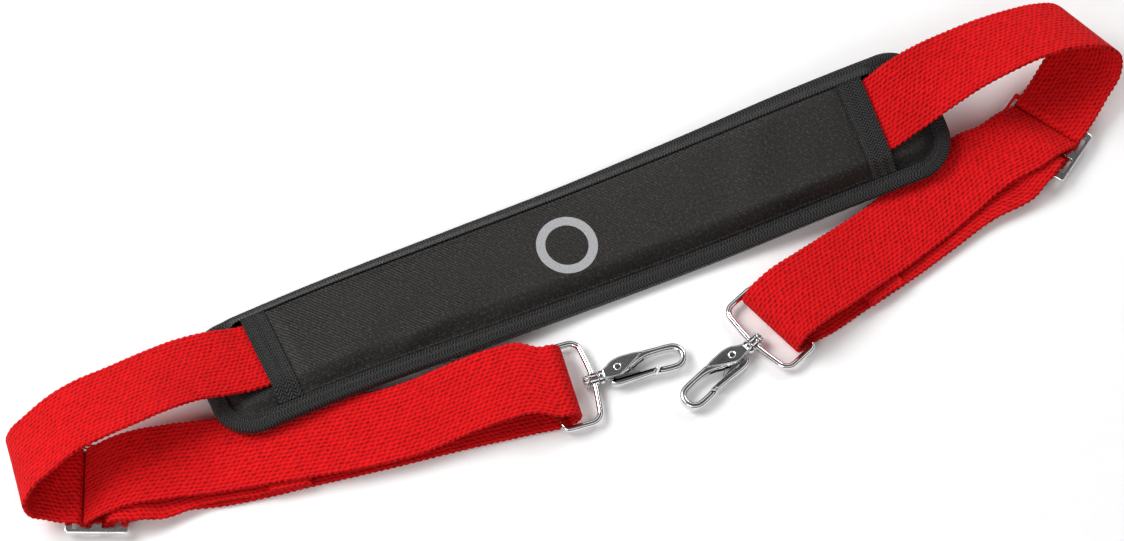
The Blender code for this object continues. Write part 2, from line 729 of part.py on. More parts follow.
def slider_frame(side, frame):
    """Flat three-bar slider with its end rails turned down."""
    half_l, half_w = SLIDER_LENGTH / 2, SLIDER_WIDTH / 2
    base, top = SLIDER_BASE, SLIDER_BASE + SLIDER_PLATE
    name = f"slider_{side}"
    corner = 2.5
    outline = []
    for sx, sy, start in ((1, -1, -90), (1, 1, 0), (-1, 1, 90), (-1, -1, 180)):
        middle = (sx * (half_l - corner), sy * (half_w - corner))
        outline += arc(middle, corner, start, start + 90, 4)
    body = outline_prism(name, outline, base, top, BRIGHT, 0.5)
    slot_half = half_w - SLIDER_RAIL
    slots = ((-half_l + SLIDER_BAR, -SLIDER_MIDDLE_BAR / 2),
             (SLIDER_MIDDLE_BAR / 2, half_l - SLIDER_BAR))
    for low, high in slots:
        ring = [(low, -slot_half), (high, -slot_half), (high, slot_half), (low, slot_half)]
        boolean(body, outline_prism("slot", ring, base - 2, top + 2, BRIGHT),
                "DIFFERENCE")
    for way in (-1, 1):
        low, high = sorted((way * (half_w - 2.0), way * (half_w - 0.4)))
        ring = [(-half_l + 3, low), (half_l - 3, low), (half_l - 3, high), (-half_l + 3, high)]
        flange = outline_prism("flange", ring, base - SLIDER_FLANGE, base + 0.8,
                               BRIGHT)
        boolean(body, flange, "UNION")
    x, y, turn, way = frame
    return place(body, (x, y, 0.0), turn if way > 0 else turn + 180)


def place(obj, point, heading, roll=0.0):
    """Move a part from its own frame to its place."""
    turn = Matrix.Rotation(math.radians(heading), 4, "Z")
    tip = Matrix.Rotation(math.radians(roll), 4, "X")
    obj.matrix_world = Matrix.Translation(Vector(point) * MM) @ turn @ tip
    return obj


def ring_path():
    """Middle line of the ring's wire, anticlockwise, with its front bar bowed."""
    half = RING_WIDTH / 2 - RING_WIRE / 2
    rear = -(RING_DEPTH - RING_WIRE)
    r = RING_CORNER
    path = arc((rear + 3.5, -half + 3.5), 3.5, 180, 270, 4)
    path += arc((-r - RING_BOW, -half + r), r, 270, 355, 5)
    path += [(-RING_BOW / 2, -half / 2), (0.0, -4.0), (0.0, 4.0), (-RING_BOW / 2, half / 2)]
    path += arc((-r - RING_BOW, half - r), r, 5, 90, 5)
    path += arc((rear + 3.5, half - 3.5), 3.5, 90, 180, 4)
    return path


def ring(side, frame):
    """Rectangular wire ring with a bored boss in the middle of its front bar."""
    path = ring_path()
    sections = []
    for i, (x, y) in enumerate(path):
        before, after = Vector(path[i - 1]), Vector(path[(i + 1) % len(path)])
        along = (after - before).normalized()
        out = Vector((along.y, -along.x))
        section = []
        for k in range(10):
            angle = 2 * math.pi * k / 10
            reach = RING_WIRE / 2 * math.cos(angle)
            section.append(Vector((x + out.x * reach, y + out.y * reach,
                                   RING_WIRE / 2 * math.sin(angle))))
        sections.append(section)
    body = loft(f"ring_{side}", sections, BRIGHT, closed=True, smooth_angle=60.0)
    half = BOSS_LENGTH / 2
    boss = turned("boss", [(-half, BOSS_RADIUS - 0.5), (-half + 0.6, BOSS_RADIUS),
                           (half - 0.6, BOSS_RADIUS), (half, BOSS_RADIUS - 0.5)],
                  BRIGHT)
    boolean(body, boss, "UNION")
    bore = turned("bore", [(-half - 2, BOSS_BORE), (half + 2, BOSS_BORE)], BRIGHT, 16)
    boolean(body, bore, "DIFFERENCE")
    x, y, turn, way = frame
    return place(body, (x, y, RING_HEIGHT), turn if way > 0 else turn + 180)


def hook_outline():
    """Edge of the hook's loop and spine, anticlockwise from the collar."""
    inner = HOOK_HALF - HOOK_BAR
    tip = HOOK_TIP - HOOK_HALF
    points = [(COLLAR_END - 1.0, -2.6), (9.0, -3.2), (13.0, -3.7), (17.0, -3.4), (20.0, -2.0),
              (23.5, -0.7), (26.7, 0.5), (31.0, 2.8), (36.0, 4.4), (42.0, 5.0), (47.0, 5.0)]
    points += arc((tip, 0.0), inner, 90, -90, 10)
    points += [(46.5, -4.7), (43.0, -4.5), (42.6, -4.5), (39.6, -8.6), (43.0, -9.1)]
    points += arc((tip, 0.0), HOOK_HALF, -90, 90, 12)
    points += [(44.0, 9.4), (34.0, 9.6), (24.0, 9.7), (18.0, 9.4), (13.0, 8.0), (9.5, 5.6),
               (COLLAR_END - 1.0, 3.6)]
    return points


def cheek_outline():
    """Edge of the thicker broad end."""
    return [(COLLAR_END - 0.5, -2.6), (9.0, -3.0), (13.0, -3.5), (17.0, -3.2), (20.0, -1.7),
            (24.0, 0.6), (28.0, 3.2), (32.0, 5.9), (35.0, 8.2), (30.0, 9.2), (24.0, 9.4),
            (18.0, 9.1), (13.0, 7.7), (9.5, 5.3), (COLLAR_END - 0.5, 3.4)]


def slot_outline():
    """Pocket for the gate's tongue and its spring."""
    return [(12.2, -8.0), (34.5, -8.0), (34.5, 6.3), (25.0, 6.4), (20.0, 6.7), (14.6, 6.7),
            (12.2, 4.6)]


def gate_arm_outline():
    """Outer arm of the gate, from its thumb end to its slanted tip."""
    return [(8.6, -4.6), (10.0, -6.9), (13.0, -8.7), (18.0, -9.1), (28.0, -8.5), (38.5, -8.0),
            (41.8, -4.2), (34.0, -4.1), (24.0, -4.4), (16.0, -4.6)]


def gate_tongue_outline():
    """Flat tongue of the gate, round its pivot."""
    x, y = PIVOT
    return [(x - 2.8, -5.6), (31.0, -5.6), (30.0, -3.9), (22.0, -2.4)] + \
        arc(PIVOT, 3.5, 0, 180, 8)


def hook_body(side, frame):
    """Hook, cheeks, collar and shank, cast in one piece."""
    look = BRIGHT
    depth, cheek = HOOK_DEPTH / 2, CHEEK_DEPTH / 2
    body = outline_prism(f"hook_{side}", hook_outline(), -depth, depth, look, 1.1)
    boolean(body, outline_prism("cheek", cheek_outline(), -cheek, cheek, look, 0.9), "UNION")
    profile = [(-SHANK_END, SHANK_HEAD - 0.8), (-SHANK_END + 0.7, SHANK_HEAD),
               (-SHANK_END + 1.3, SHANK_HEAD), (-SHANK_END + 1.3, SHANK_RADIUS),
               (COLLAR_START, SHANK_RADIUS), (COLLAR_START, COLLAR_RADIUS - 0.3),
               (COLLAR_START + 0.4, COLLAR_RADIUS), (COLLAR_END - 0.5, COLLAR_RADIUS),
               (COLLAR_END + 0.8, 3.2)]
    boolean(body, turned("shank", profile, look), "UNION")
    boolean(body, outline_prism("pocket", slot_outline(), -GATE_SLOT / 2, GATE_SLOT / 2, look),
            "DIFFERENCE")
    hole = outline_prism("hole", arc(PIVOT, PIVOT_RADIUS + GAP, 0, 345, 15), -9, 9, look)
    boolean(body, hole, "DIFFERENCE")
    return place_on_ring(body, frame)


def place_on_ring(obj, frame):
    """Put a hook part, made about the ring's boss, in its place."""
    x, y, turn, way = frame
    if way > 0:
        return place(obj, (x, y, RING_HEIGHT), turn)
    return place(obj, (x, y, RING_HEIGHT), turn + 180, 180)


def gate(side, frame):
    """Sprung gate, with its origin on its pivot."""
    look = BRIGHT
    depth = HOOK_DEPTH / 2
    body = outline_prism(f"gate_{side}", gate_arm_outline(), -depth, depth, look, 0.9)
    tongue = outline_prism("tongue", gate_tongue_outline(), -GATE_TONGUE / 2, GATE_TONGUE / 2, look)
    boolean(body, tongue, "UNION")
    hole = outline_prism("hole", arc(PIVOT, PIVOT_RADIUS + GAP, 0, 345, 15), -9, 9, look)
    boolean(body, hole, "DIFFERENCE")
    body.data.transform(Matrix.Translation((-PIVOT[0] * MM, -PIVOT[1] * MM, 0.0)))
    place_on_ring(body, frame)
    body.matrix_world = body.matrix_world @ Matrix.Translation((PIVOT[0] * MM, PIVOT[1] * MM, 0.0))
    return body


def gate_rivet(side, frame):
    """Rivet through both cheeks and the tongue."""
    end = CHEEK_DEPTH / 2 + GAP
    profile = [(-end - 0.55, RIVET_HEAD - 0.9), (-end - 0.2, RIVET_HEAD), (-end, RIVET_HEAD),
               (-end, PIVOT_RADIUS), (end, PIVOT_RADIUS), (end, RIVET_HEAD),
               (end + 0.2, RIVET_HEAD), (end + 0.55, RIVET_HEAD - 0.9)]
    body = turned(f"gate_rivet_{side}", profile, BRIGHT, 16)
    upright = Matrix.Translation((PIVOT[0] * MM, PIVOT[1] * MM, 0.0))
    body.data.transform(upright @ Matrix.Rotation(math.radians(90), 4, "Y"))
    return place_on_ring(body, frame)


def gate_spring(side, frame):
    """Bent leaf spring between the pocket's roof and the gate."""
    path = [(32.5, 5.6), (27.5, 5.3), (24.0, 4.3), (22.4, 2.6), (23.4, 0.9), (26.5, -1.0),
            (30.0, -3.2)]
    half, thick = 1.3, 0.22
    sections = []
    for i, point in enumerate(path):
        before = Vector(path[max(i - 1, 0)])
        after = Vector(path[min(i + 1, len(path) - 1)])
        along = (after - before).normalized()
        out = Vector((along.y, -along.x))
        x, y = point
        sections.append([Vector((x + out.x * a * thick, y + out.y * a * thick, b * half))
                         for a, b in ((-1, -1), (1, -1), (1, 1), (-1, 1))])
    return place_on_ring(loft(f"gate_spring_{side}", sections, (SPRING, 0.3, 1.0)), frame)


def swivel_washer(side, frame):
    """Washer between the ring's boss and the shank's riveted head."""
    inner, outer = -BOSS_LENGTH / 2 - GAP, -SHANK_END + 1.3 + GAP
    bore = SHANK_RADIUS + GAP
    profile = [(outer, BUTTON_RADIUS - 0.5), (outer + 0.5, BUTTON_RADIUS),
               (inner - 0.4, BUTTON_RADIUS), (inner, BUTTON_RADIUS - 0.4)]
    body = turned(f"swivel_washer_{side}", profile, BRIGHT)
    boolean(body, turned("bore", [(outer - 2, bore), (inner + 2, bore)], BRIGHT, 16),
            "DIFFERENCE")
    return place_on_ring(body, frame)


def main():
    for obj in list(bpy.data.objects):
        bpy.data.objects.remove(obj)
    pad_backing()
    pad_core()
    pad_cover()
    pad_sleeve()
    hem_tape("hem_tape_left", SLEEVE_LEFT)
    hem_tape("hem_tape_right", SLEEVE_RIGHT - HEM_WIDTH)
    pad_binding()
    printed_mark()
    webbing()
    for side, slider, ring_frame in (("left", LEFT_SLIDER, LEFT_RING),
                                     ("right", RIGHT_SLIDER, RIGHT_RING)):
        slider_frame(side, slider)
        ring(side, ring_frame)
        for make in (hook_body, gate, gate_rivet, gate_spring, swivel_washer):
            make(side, ring_frame)
    shift = Matrix.Translation([c * MM for c in PAD_ORIGIN])
    bpy.context.view_layer.update()
    for obj in bpy.data.objects:
        obj.matrix_world = shift @ obj.matrix_world


main()
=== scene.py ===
"""Looks of the padded instrument carrying strap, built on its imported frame.

The webbing, the pad's cloth and the metal parts are made again at full detail
along the same lines as the frame's solids, with woven, sewn and plated
materials. Tables are in millimetres and become metres when a mesh is made.
"""

import math

import bmesh
import bpy
import numpy as np
from mathutils import Matrix, Vector


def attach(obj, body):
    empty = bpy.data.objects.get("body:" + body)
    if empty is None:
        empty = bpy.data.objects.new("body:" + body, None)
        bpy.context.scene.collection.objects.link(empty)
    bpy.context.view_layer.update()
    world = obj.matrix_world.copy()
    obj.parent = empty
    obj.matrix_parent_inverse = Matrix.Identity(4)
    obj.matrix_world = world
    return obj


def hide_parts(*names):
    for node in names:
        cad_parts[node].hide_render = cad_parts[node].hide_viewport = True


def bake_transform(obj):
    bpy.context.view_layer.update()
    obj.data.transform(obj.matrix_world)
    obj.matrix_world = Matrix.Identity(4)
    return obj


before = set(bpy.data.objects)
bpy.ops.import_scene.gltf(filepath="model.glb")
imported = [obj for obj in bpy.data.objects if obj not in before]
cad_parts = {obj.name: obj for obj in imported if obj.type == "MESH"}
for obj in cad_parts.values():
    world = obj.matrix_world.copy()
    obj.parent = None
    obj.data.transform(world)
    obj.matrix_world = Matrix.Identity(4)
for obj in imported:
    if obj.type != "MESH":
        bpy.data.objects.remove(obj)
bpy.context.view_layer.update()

MM = 0.001
GAP = 0.35
SOFT_GAP = 0.55
PAD_ORIGIN = (-8.53, 35.59, -0.15)

WEB_WIDTH, WEB_THICK = 50.0, 2.8
WEB_STEP = 1.2
LAYER = WEB_THICK + GAP
LOWEST_WEB = WEB_THICK / 2 + 0.2
TAB_LENGTH = 24.0

PAD_LEFT, PAD_RIGHT = -241.0, 264.5
PAD_WIDTH, PAD_CORNER = 86.0, 26.0
SLEEVE_LEFT, SLEEVE_RIGHT = -202.0, 223.0
HEM_WIDTH = 16.0
BINDING_WIDTH, BINDING_THICK = 10.5, 0.9
RIM_STITCH, RIM_PITCH = 7.4, 2.9
HEM_STITCH = 1.9
CLOTH, CORE_THICK, CORE_EDGE, CORE_INSET = 0.8, 4.0, 0.6, 15.0
TUNNEL_OFFSET = 6.0
MARK_RADIUS, MARK_CENTRE = 20.0, (7.3, -0.6)
THREAD_SIDES = 6

SLIDER_LENGTH, SLIDER_WIDTH = 40.0, 59.0
SLIDER_BAR, SLIDER_MIDDLE_BAR, SLIDER_RAIL = 5.0, 6.0, 2.6
SLIDER_PLATE, SLIDER_FLANGE, SLIDER_BASE = 2.4, 3.0, 6.6
SLIDER_CORNER, SLOT_CORNER = 2.5, 0.8

RING_WIRE, RING_WIDTH, RING_DEPTH = 4.2, 60.0, 31.0
RING_CORNER, RING_BOW = 7.0, 2.0
RING_HEIGHT = WEB_THICK + 0.2 + GAP + RING_WIRE / 2
FOLD_LENGTH, FOLD_RADIUS = 11.0, 9.4
BOSS_LENGTH, BOSS_RADIUS, BOSS_BORE = 6.4, 4.6, 2.45

SHANK_RADIUS, COLLAR_START, COLLAR_END, COLLAR_RADIUS = 2.1, 3.6, 6.6, 4.8
BUTTON_RADIUS, SHANK_END, SHANK_HEAD = 4.6, 6.9, 3.3
HOOK_TIP, HOOK_HALF, HOOK_BAR = 61.5, 9.3, 4.6
HOOK_DEPTH, CHEEK_DEPTH = 6.6, 8.8
GATE_SLOT, GATE_TONGUE = 3.6, 3.0
PIVOT, PIVOT_RADIUS, RIVET_HEAD = (16.5, 2.6), 1.6, 2.7

METAL_SHARP = 35.0
CORNER = 38.0
OUTLINE_STEP, WIRE_STEP = 1.0, 0.9
WIRE_SIDES, BORE_SIDES = 44, 28
CAMERA_AZIMUTH, CAMERA_ELEVATION = -23.8, 65.0
CAMERA_DISTANCE, CAMERA_LENS = 2.0, 99.93


# --- materials ------------------------------------------------------------------------

class Graph:
    """Short calls for building the nodes of a material or world."""

    def __init__(self, owner):
        owner.use_nodes = True
        self.owner, self.tree = owner, owner.node_tree

    def node(self, kind, **values):
        made = self.tree.nodes.new(kind)
        for key, value in values.items():
            setattr(made, key, value)
        return made

    def feed(self, socket, value):
        if isinstance(value, bpy.types.NodeSocket):
            self.tree.links.new(value, socket)
        elif isinstance(value, (tuple, list)) and len(value) == 3 and socket.type == "RGBA":
            socket.default_value = (*value, 1.0)
        else:
            socket.default_value = value

    def math(self, operation, *values):
        made = self.node("ShaderNodeMath", operation=operation)
        for socket, value in zip(made.inputs, values):
            self.feed(socket, value)
        return made.outputs[0]

    def add(self, one, two):
        return self.math("ADD", one, two)

    def less(self, one, two):
        return self.math("SUBTRACT", one, two)

    def times(self, one, two):
        return self.math("MULTIPLY", one, two)

    def wave(self, value, period):
        return self.math("SINE", self.times(value, 2 * math.pi / period))

    def wander(self, vector, scale, amount, detail=2.0, rough=0.5):
        """Noise to either side of zero."""
        return self.times(self.less(self.noise(vector, scale, detail, rough), 0.5), amount)

    def mix(self, share, low, high, blend="MIX"):
        made = self.node("ShaderNodeMix", data_type="RGBA", blend_type=blend)
        self.feed(made.inputs["Factor"], share)
        self.feed(made.inputs[6], low)
        self.feed(made.inputs[7], high)
        return made.outputs[2]

    def span(self, value, low, high, to_low=0.0, to_high=1.0):
        made = self.node("ShaderNodeMapRange", interpolation_type="SMOOTHSTEP")
        for socket, item in zip(made.inputs, (value, low, high, to_low, to_high)):
            self.feed(socket, item)
        return made.outputs[0]

    def noise(self, vector, scale, detail=2.0, rough=0.5):
        made = self.node("ShaderNodeTexNoise")
        self.feed(made.inputs["Vector"], vector)
        made.inputs["Scale"].default_value = scale
        made.inputs["Detail"].default_value = detail
        made.inputs["Roughness"].default_value = rough
        return made.outputs["Fac"]

    def uv(self):
        """Places across and along the cloth, in metres."""
        made = self.node("ShaderNodeUVMap", uv_map="cloth")
        split = self.node("ShaderNodeSeparateXYZ")
        self.feed(split.inputs[0], made.outputs[0])
        return made.outputs[0], split.outputs[0], split.outputs[1]

    def place(self):
        return self.node("ShaderNodeTexCoord").outputs["Object"]

    def random(self, x, y):
        join = self.node("ShaderNodeCombineXYZ")
        self.feed(join.inputs[0], x)
        self.feed(join.inputs[1], y)
        made = self.node("ShaderNodeTexWhiteNoise")
        self.feed(made.inputs["Vector"], join.outputs[0])
        return made.outputs["Value"]

    def bump(self, height, distance, before=None):
        made = self.node("ShaderNodeBump")
        made.inputs["Distance"].default_value = distance
        self.feed(made.inputs["Height"], height)
        if before is not None:
            self.feed(made.inputs["Normal"], before)
        return made.outputs[0]

    def set(self, **values):
        shader = self.tree.nodes["Principled BSDF"]
        for key, value in values.items():
            self.feed(shader.inputs[key.replace("_", " ")], value)
        return self.owner


def material(name):
    """Node calls for a new material."""
    return Graph(bpy.data.materials.new(name))


def shade(colour, share):
    """A colour made darker or lighter."""
    return tuple(c * share for c in colour)


def floats(g, across, along, width, length, lean):
    """Short floats along a webbing: height, painted shade of the gaps, row and float number."""
    row_at = g.math("DIVIDE", across, width)
    row = g.math("FLOOR", row_at)
    odd = g.times(g.math("FLOORED_MODULO", row, 2.0), 0.5)
    at = g.add(g.math("DIVIDE", along, length), odd)
    number = g.math("FLOOR", at)
    part = g.less(g.less(at, number), 0.5)
    centre = g.add(g.times(part, lean), 0.5)
    off = g.math("ABSOLUTE", g.less(g.less(row_at, row), centre))
    end = g.math("ABSOLUTE", part)
    groove = g.times(g.span(off, 0.05, 0.42, 1.0, 0.0), g.span(end, 0.22, 0.50, 1.0, 0.25))
    # painted shade: a mask for the dark gaps between the floats
    gap_shade = g.times(g.span(off, 0.04, 0.21, 1.0, 0.0), g.span(end, 0.16, 0.34, 1.0, 0.0))
    return g.less(1.0, groove), gap_shade, row, number


def webbing_look():
    """Thick red webbing, a weave of short floats, with painted shade in grooves and gaps."""
    g = material("red_webbing")
    vector, across, along = g.uv()
    across = g.add(across, g.wander(vector, 160.0, 0.0020, 3.0, 0.6))
    along = g.add(along, g.add(g.wander(vector, 70.0, 0.0050),
                               g.wander(vector, 310.0, 0.0030)))
    height, gap_shade, row, number = floats(g, across, along, width=0.0026, length=0.0037,
                                      lean=0.36)
    own = g.random(row, number)
    fibre = g.noise(vector, 2400.0, 3.0, 0.65)
    # painted shade: each float's red darkens down its sides into the grooves
    colour = g.mix(g.span(height, 0.10, 0.90), (0.50, 0.0030, 0.0052), (0.74, 0.0066, 0.0088))
    colour = g.mix(g.times(own, 0.34), colour, (0.50, 0.0030, 0.0045))
    colour = g.mix(g.span(fibre, 0.52, 0.76, 0.0, 0.42), colour, (0.90, 0.040, 0.032))
    # painted shade: the gaps between floats turn near black, deeper on some floats
    colour = g.mix(g.times(gap_shade, g.span(own, 0.1, 0.9, 0.22, 0.90)), colour,
                   (0.17, 0.0008, 0.0018))
    soft = g.noise(vector, 22.0)
    colour = g.mix(g.span(soft, 0.45, 0.8, 0.0, 0.20), colour, (0.44, 0.0022, 0.0036))
    normal = g.bump(g.add(height, g.times(own, 0.20)), 0.00050)
    normal = g.bump(fibre, 0.00012, normal)
    return g.set(Base_Color=colour, Roughness=0.88, Normal=normal, Sheen_Weight=0.05,
                 Sheen_Roughness=0.4, Sheen_Tint=(1.0, 0.2, 0.15), Specular_IOR_Level=0.12)


def pad_cloth_look(name, base, sheen, rough):
    """Fine black twill with a mottled grain."""
    g = material(name)
    vector, across, along = g.uv()
    slope = g.add(g.times(across, 0.8), g.add(along, g.wander(vector, 40.0, 0.0016)))
    thread = g.add(g.times(g.wave(slope, 0.0024), 0.6), g.times(g.wave(across, 0.0015), 0.3))
    speck = g.noise(vector, 560.0, 4.0, 0.8)
    broad = g.noise(vector, 15.0, 3.0, 0.5)
    pale, deep = shade(base, 1.9), shade(base, 0.2)
    strength = g.span(broad, 0.35, 0.65, 0.08, 0.34)
    colour = g.mix(g.span(broad, 0.40, 0.72, 0.0, 0.45), base, pale)
    colour = g.mix(g.times(g.span(thread, -0.3, 0.8), strength), colour, pale)
    colour = g.mix(g.span(thread, -0.9, -0.1, 0.40, 0.0), colour, deep)
    colour = g.mix(g.span(speck, 0.50, 0.66, 0.0, 0.95), colour, shade(base, 4.6))
    colour = g.mix(g.span(speck, 0.30, 0.46, 0.85, 0.0), colour, deep)
    normal = g.bump(speck, 0.00030, g.bump(thread, 0.00014))
    roughness = g.span(broad, 0.3, 0.7, rough - 0.05, rough + 0.06)
    return g.set(Base_Color=colour, Roughness=roughness, Normal=normal, Sheen_Weight=sheen,
                 Sheen_Roughness=0.35, Sheen_Tint=(0.95, 0.92, 0.9), Specular_IOR_Level=0.26)


def tape_look(name, rib, lean):
    """Ribbed black tape; the ribs lean to and fro across its width."""
    g = material(name)
    vector, across, along = g.uv()
    fold = g.math("PINGPONG", across, 0.0030)
    at = g.add(g.add(along, g.wander(vector, 90.0, 0.0012)), g.times(fold, lean))
    woven = g.add(g.times(g.wave(at, rib), 0.75), g.times(g.wave(across, 0.0016), 0.25))
    speck = g.noise(vector, 1300.0, 3.0, 0.7)
    colour = g.mix(g.span(woven, -0.45, 0.75), (0.0022, 0.0021, 0.0021),
                   (0.034, 0.0325, 0.032))
    colour = g.mix(g.span(speck, 0.55, 0.80, 0.0, 0.55), colour, (0.095, 0.092, 0.090))
    normal = g.bump(speck, 0.00010, g.bump(woven, 0.00042))
    return g.set(Base_Color=colour, Roughness=0.55, Normal=normal, Sheen_Weight=0.08,
                 Sheen_Roughness=0.4, Specular_IOR_Level=0.3)


def print_look():
    """Light grey print whose pigment breaks up over the cloth's weave."""
    g = material("grey_print")
    worn = g.noise(g.uv()[0], 1000.0, 3.0, 0.7)
    colour = g.mix(g.span(worn, 0.30, 0.46), (0.15, 0.15, 0.155), (0.34, 0.34, 0.35))
    colour = g.mix(g.span(worn, 0.52, 0.75), colour, (0.50, 0.50, 0.51))
    return g.set(Base_Color=colour, Roughness=0.65, Normal=g.bump(worn, 0.00010))


def thread_look(name, dark, light):
    """Twisted sewing thread."""
    g = material(name)
    twist = g.noise(g.place(), 2400.0, 2.0, 0.5)
    colour = g.mix(g.span(twist, 0.35, 0.7), dark, light)
    return g.set(Base_Color=colour, Roughness=0.5, Normal=g.bump(twist, 0.00008),
                 Specular_IOR_Level=0.45)


def foam_look():
    """Open-celled padding."""
    g = material("foam")
    cells = g.noise(g.place(), 1400.0, 3.0, 0.6)
    colour = g.mix(cells, (0.045, 0.045, 0.05), (0.11, 0.11, 0.115))
    return g.set(Base_Color=colour, Roughness=0.9, Normal=g.bump(cells, 0.0001))


def metal_look(name, colour, low, high, bump):
    """Plated metal with faint polishing marks and dulled patches."""
    g = material(name)
    place = g.place()
    patch = g.noise(place, 95.0, 3.0, 0.6)
    fine = g.noise(place, 1500.0, 3.0, 0.6)
    worn = g.add(patch, g.times(fine, 0.35))
    colour = g.mix(g.span(worn, 0.6, 0.95), colour, shade(colour, 0.80))
    return g.set(Base_Color=colour, Metallic=1.0, Roughness=g.span(worn, 0.40, 0.95, low, high),
                 Normal=g.bump(patch, bump, g.bump(fine, bump * 0.06)))


# --- mesh helpers ---------------------------------------------------------------------

def linked(name, data):
    """New object in the scene."""
    obj = bpy.data.objects.new(name, data)
    bpy.context.scene.collection.objects.link(obj)
    return obj


def unit(vectors):
    """Vectors made one long."""
    return vectors / np.maximum(np.linalg.norm(vectors, axis=-1), 1e-6)[..., None]


def round_angles(count):
    """Even angles round a circle, in radians."""
    return np.arange(count) * 2 * math.pi / count


def finish_mesh(name, verts, faces, look, sharp=None, smooth=True):
    """Object from points in metres."""
    mesh = bpy.data.meshes.new(name)
    mesh.from_pydata(np.asarray(verts, float).tolist(), [], faces)
    if smooth:
        mesh.shade_smooth()
    if sharp is not None:
        mesh.set_sharp_from_angle(angle=math.radians(sharp))
    if look is not None:
        mesh.materials.append(look)
    return linked(name, mesh)


def ring_faces(count, size, closed=False):
    """Faces between equal rings of points, capped at both ends unless closed."""
    i = np.arange(count if closed else count - 1)[:, None]
    j = np.arange(size)[None, :]
    following, k = (i + 1) % count, (j + 1) % size
    faces = np.stack([i * size + j, i * size + k, following * size + k,
                      following * size + j], -1).reshape(-1, 4).tolist()
    if not closed:
        faces.append(list(range(size))[::-1])
        faces.append([(count - 1) * size + n for n in range(size)])
    return faces


def skin(name, rings, across, along, look, closed=False, sharp=50.0):
    """Skin equal rings of points, with cloth coordinates.

    across has one more value than a ring has points, along one for each ring,
    and one more where the run closes on itself.
    """
    rings = np.asarray(rings, float)
    count, size = rings.shape[:2]
    spans = count if closed else count - 1
    across = np.broadcast_to(np.asarray(across, float), (count, size + 1))
    along = np.asarray(along, float)
    i = np.arange(spans)[:, None]
    j = np.arange(size)[None, :]
    following = (i + 1) % count
    u = np.stack([across[i, j], across[i, j + 1], across[following, j + 1],
                  across[following, j]], -1).reshape(-1)
    v = np.stack([along[i] + 0 * j, along[i] + 0 * j, along[i + 1] + 0 * j,
                  along[i + 1] + 0 * j], -1).reshape(-1)
    if not closed:
        u = np.concatenate([u, across[0, :-1][::-1], across[-1, :-1]])
        v = np.concatenate([v, np.full(size, along[0]), np.full(size, along[-1])])
    faces = ring_faces(count, size, closed)
    obj = finish_mesh(name, rings.reshape(-1, 3) * MM, faces, look, sharp)
    layer = obj.data.uv_layers.new(name="cloth")
    layer.data.foreach_set("uv", (np.stack([u, v], -1) * MM).ravel())
    face_out(obj)
    return obj


def face_out(obj):
    """Turn a closed mesh's faces outwards."""
    bm = bmesh.new()
    bm.from_mesh(obj.data)
    bmesh.ops.recalc_face_normals(bm, faces=bm.faces)
    bm.to_mesh(obj.data)
    bm.free()


def tube(path, radius):
    """Points of a round thread along a path, ring by ring."""
    path = np.asarray(path, float)
    along = unit(np.gradient(path, axis=0))
    side = unit(np.cross(along, np.array([0.0, 0.0, 1.0])))
    up = np.cross(side, along)
    angle = round_angles(THREAD_SIDES)
    ring = (side[:, None] * np.cos(angle)[None, :, None]
            + up[:, None] * np.sin(angle)[None, :, None]) * radius
    return (path[:, None] + ring).reshape(-1, 3)


def threads(name, paths, radius, look):
    """One object from many thread paths, in millimetres."""
    verts, faces, start = [], [], 0
    for path in paths:
        verts.append(tube(path, radius))
        faces += [[n + start for n in face] for face in ring_faces(len(path), THREAD_SIDES)]
        start += len(verts[-1])
    obj = finish_mesh(name, np.concatenate(verts) * MM, faces, look)
    face_out(obj)
    return obj


def hermite(f):
    """Weights of the start, its slope, the end and its slope, at a share f between."""
    return 2 * f**3 - 3 * f**2 + 1, f**3 - 2 * f**2 + f, 3 * f**2 - 2 * f**3, f**3 - f**2


def spline(rows, t):
    """Point of a smooth curve through rows that start with x, y, z."""
    last = len(rows) - 1
    i = min(max(int(math.floor(t)), 0), last - 1)
    f = t - i
    p0, p1 = rows[max(i - 1, 0)], rows[i]
    p2, p3 = rows[i + 1], rows[min(i + 2, last)]
    before = max(math.dist(p1[:3], p0[:3]), 0.001)
    here = max(math.dist(p2[:3], p1[:3]), 0.001)
    after = max(math.dist(p3[:3], p2[:3]), 0.001)
    w1, w2, w3, w4 = hermite(f)
    out = []
    for a, b, c, d in zip(p0, p1, p2, p3):
        slope = (c - b) / here
        m1 = m2 = slope * here
        if i > 0:
            m1 = ((b - a) / before * here + slope * before) / (before + here) * here
        if i + 2 <= last:
            m2 = ((d - c) / after * here + slope * after) / (after + here) * here
        out.append(w1 * b + w2 * m1 + w3 * c + w4 * m2)
    return out


def heading_at(rows, t):
    """Direction of travel of the curve through rows."""
    ahead = spline(rows, min(t + 0.02, len(rows) - 1))
    behind = spline(rows, max(t - 0.02, 0.0))
    return (Vector(ahead[:3]) - Vector(behind[:3])).normalized()


# --- the pad's bent surface -----------------------------------------------------------

# x, y, height of the underside on the centre line, roll (far edge up)
PAD_LINE = [
    (-241.0, 8.0, 8.6, -11.0),
    (-150.0, 10.0, 7.2, -8.0),
    (-60.0, 9.8, 3.6, -3.0),
    (20.0, 9.0, 2.0, 1.0),
    (100.0, 7.0, 7.5, 8.0),
    (180.0, 3.6, 19.5, 15.0),
    (264.5, -1.0, 30.0, 19.0),
]


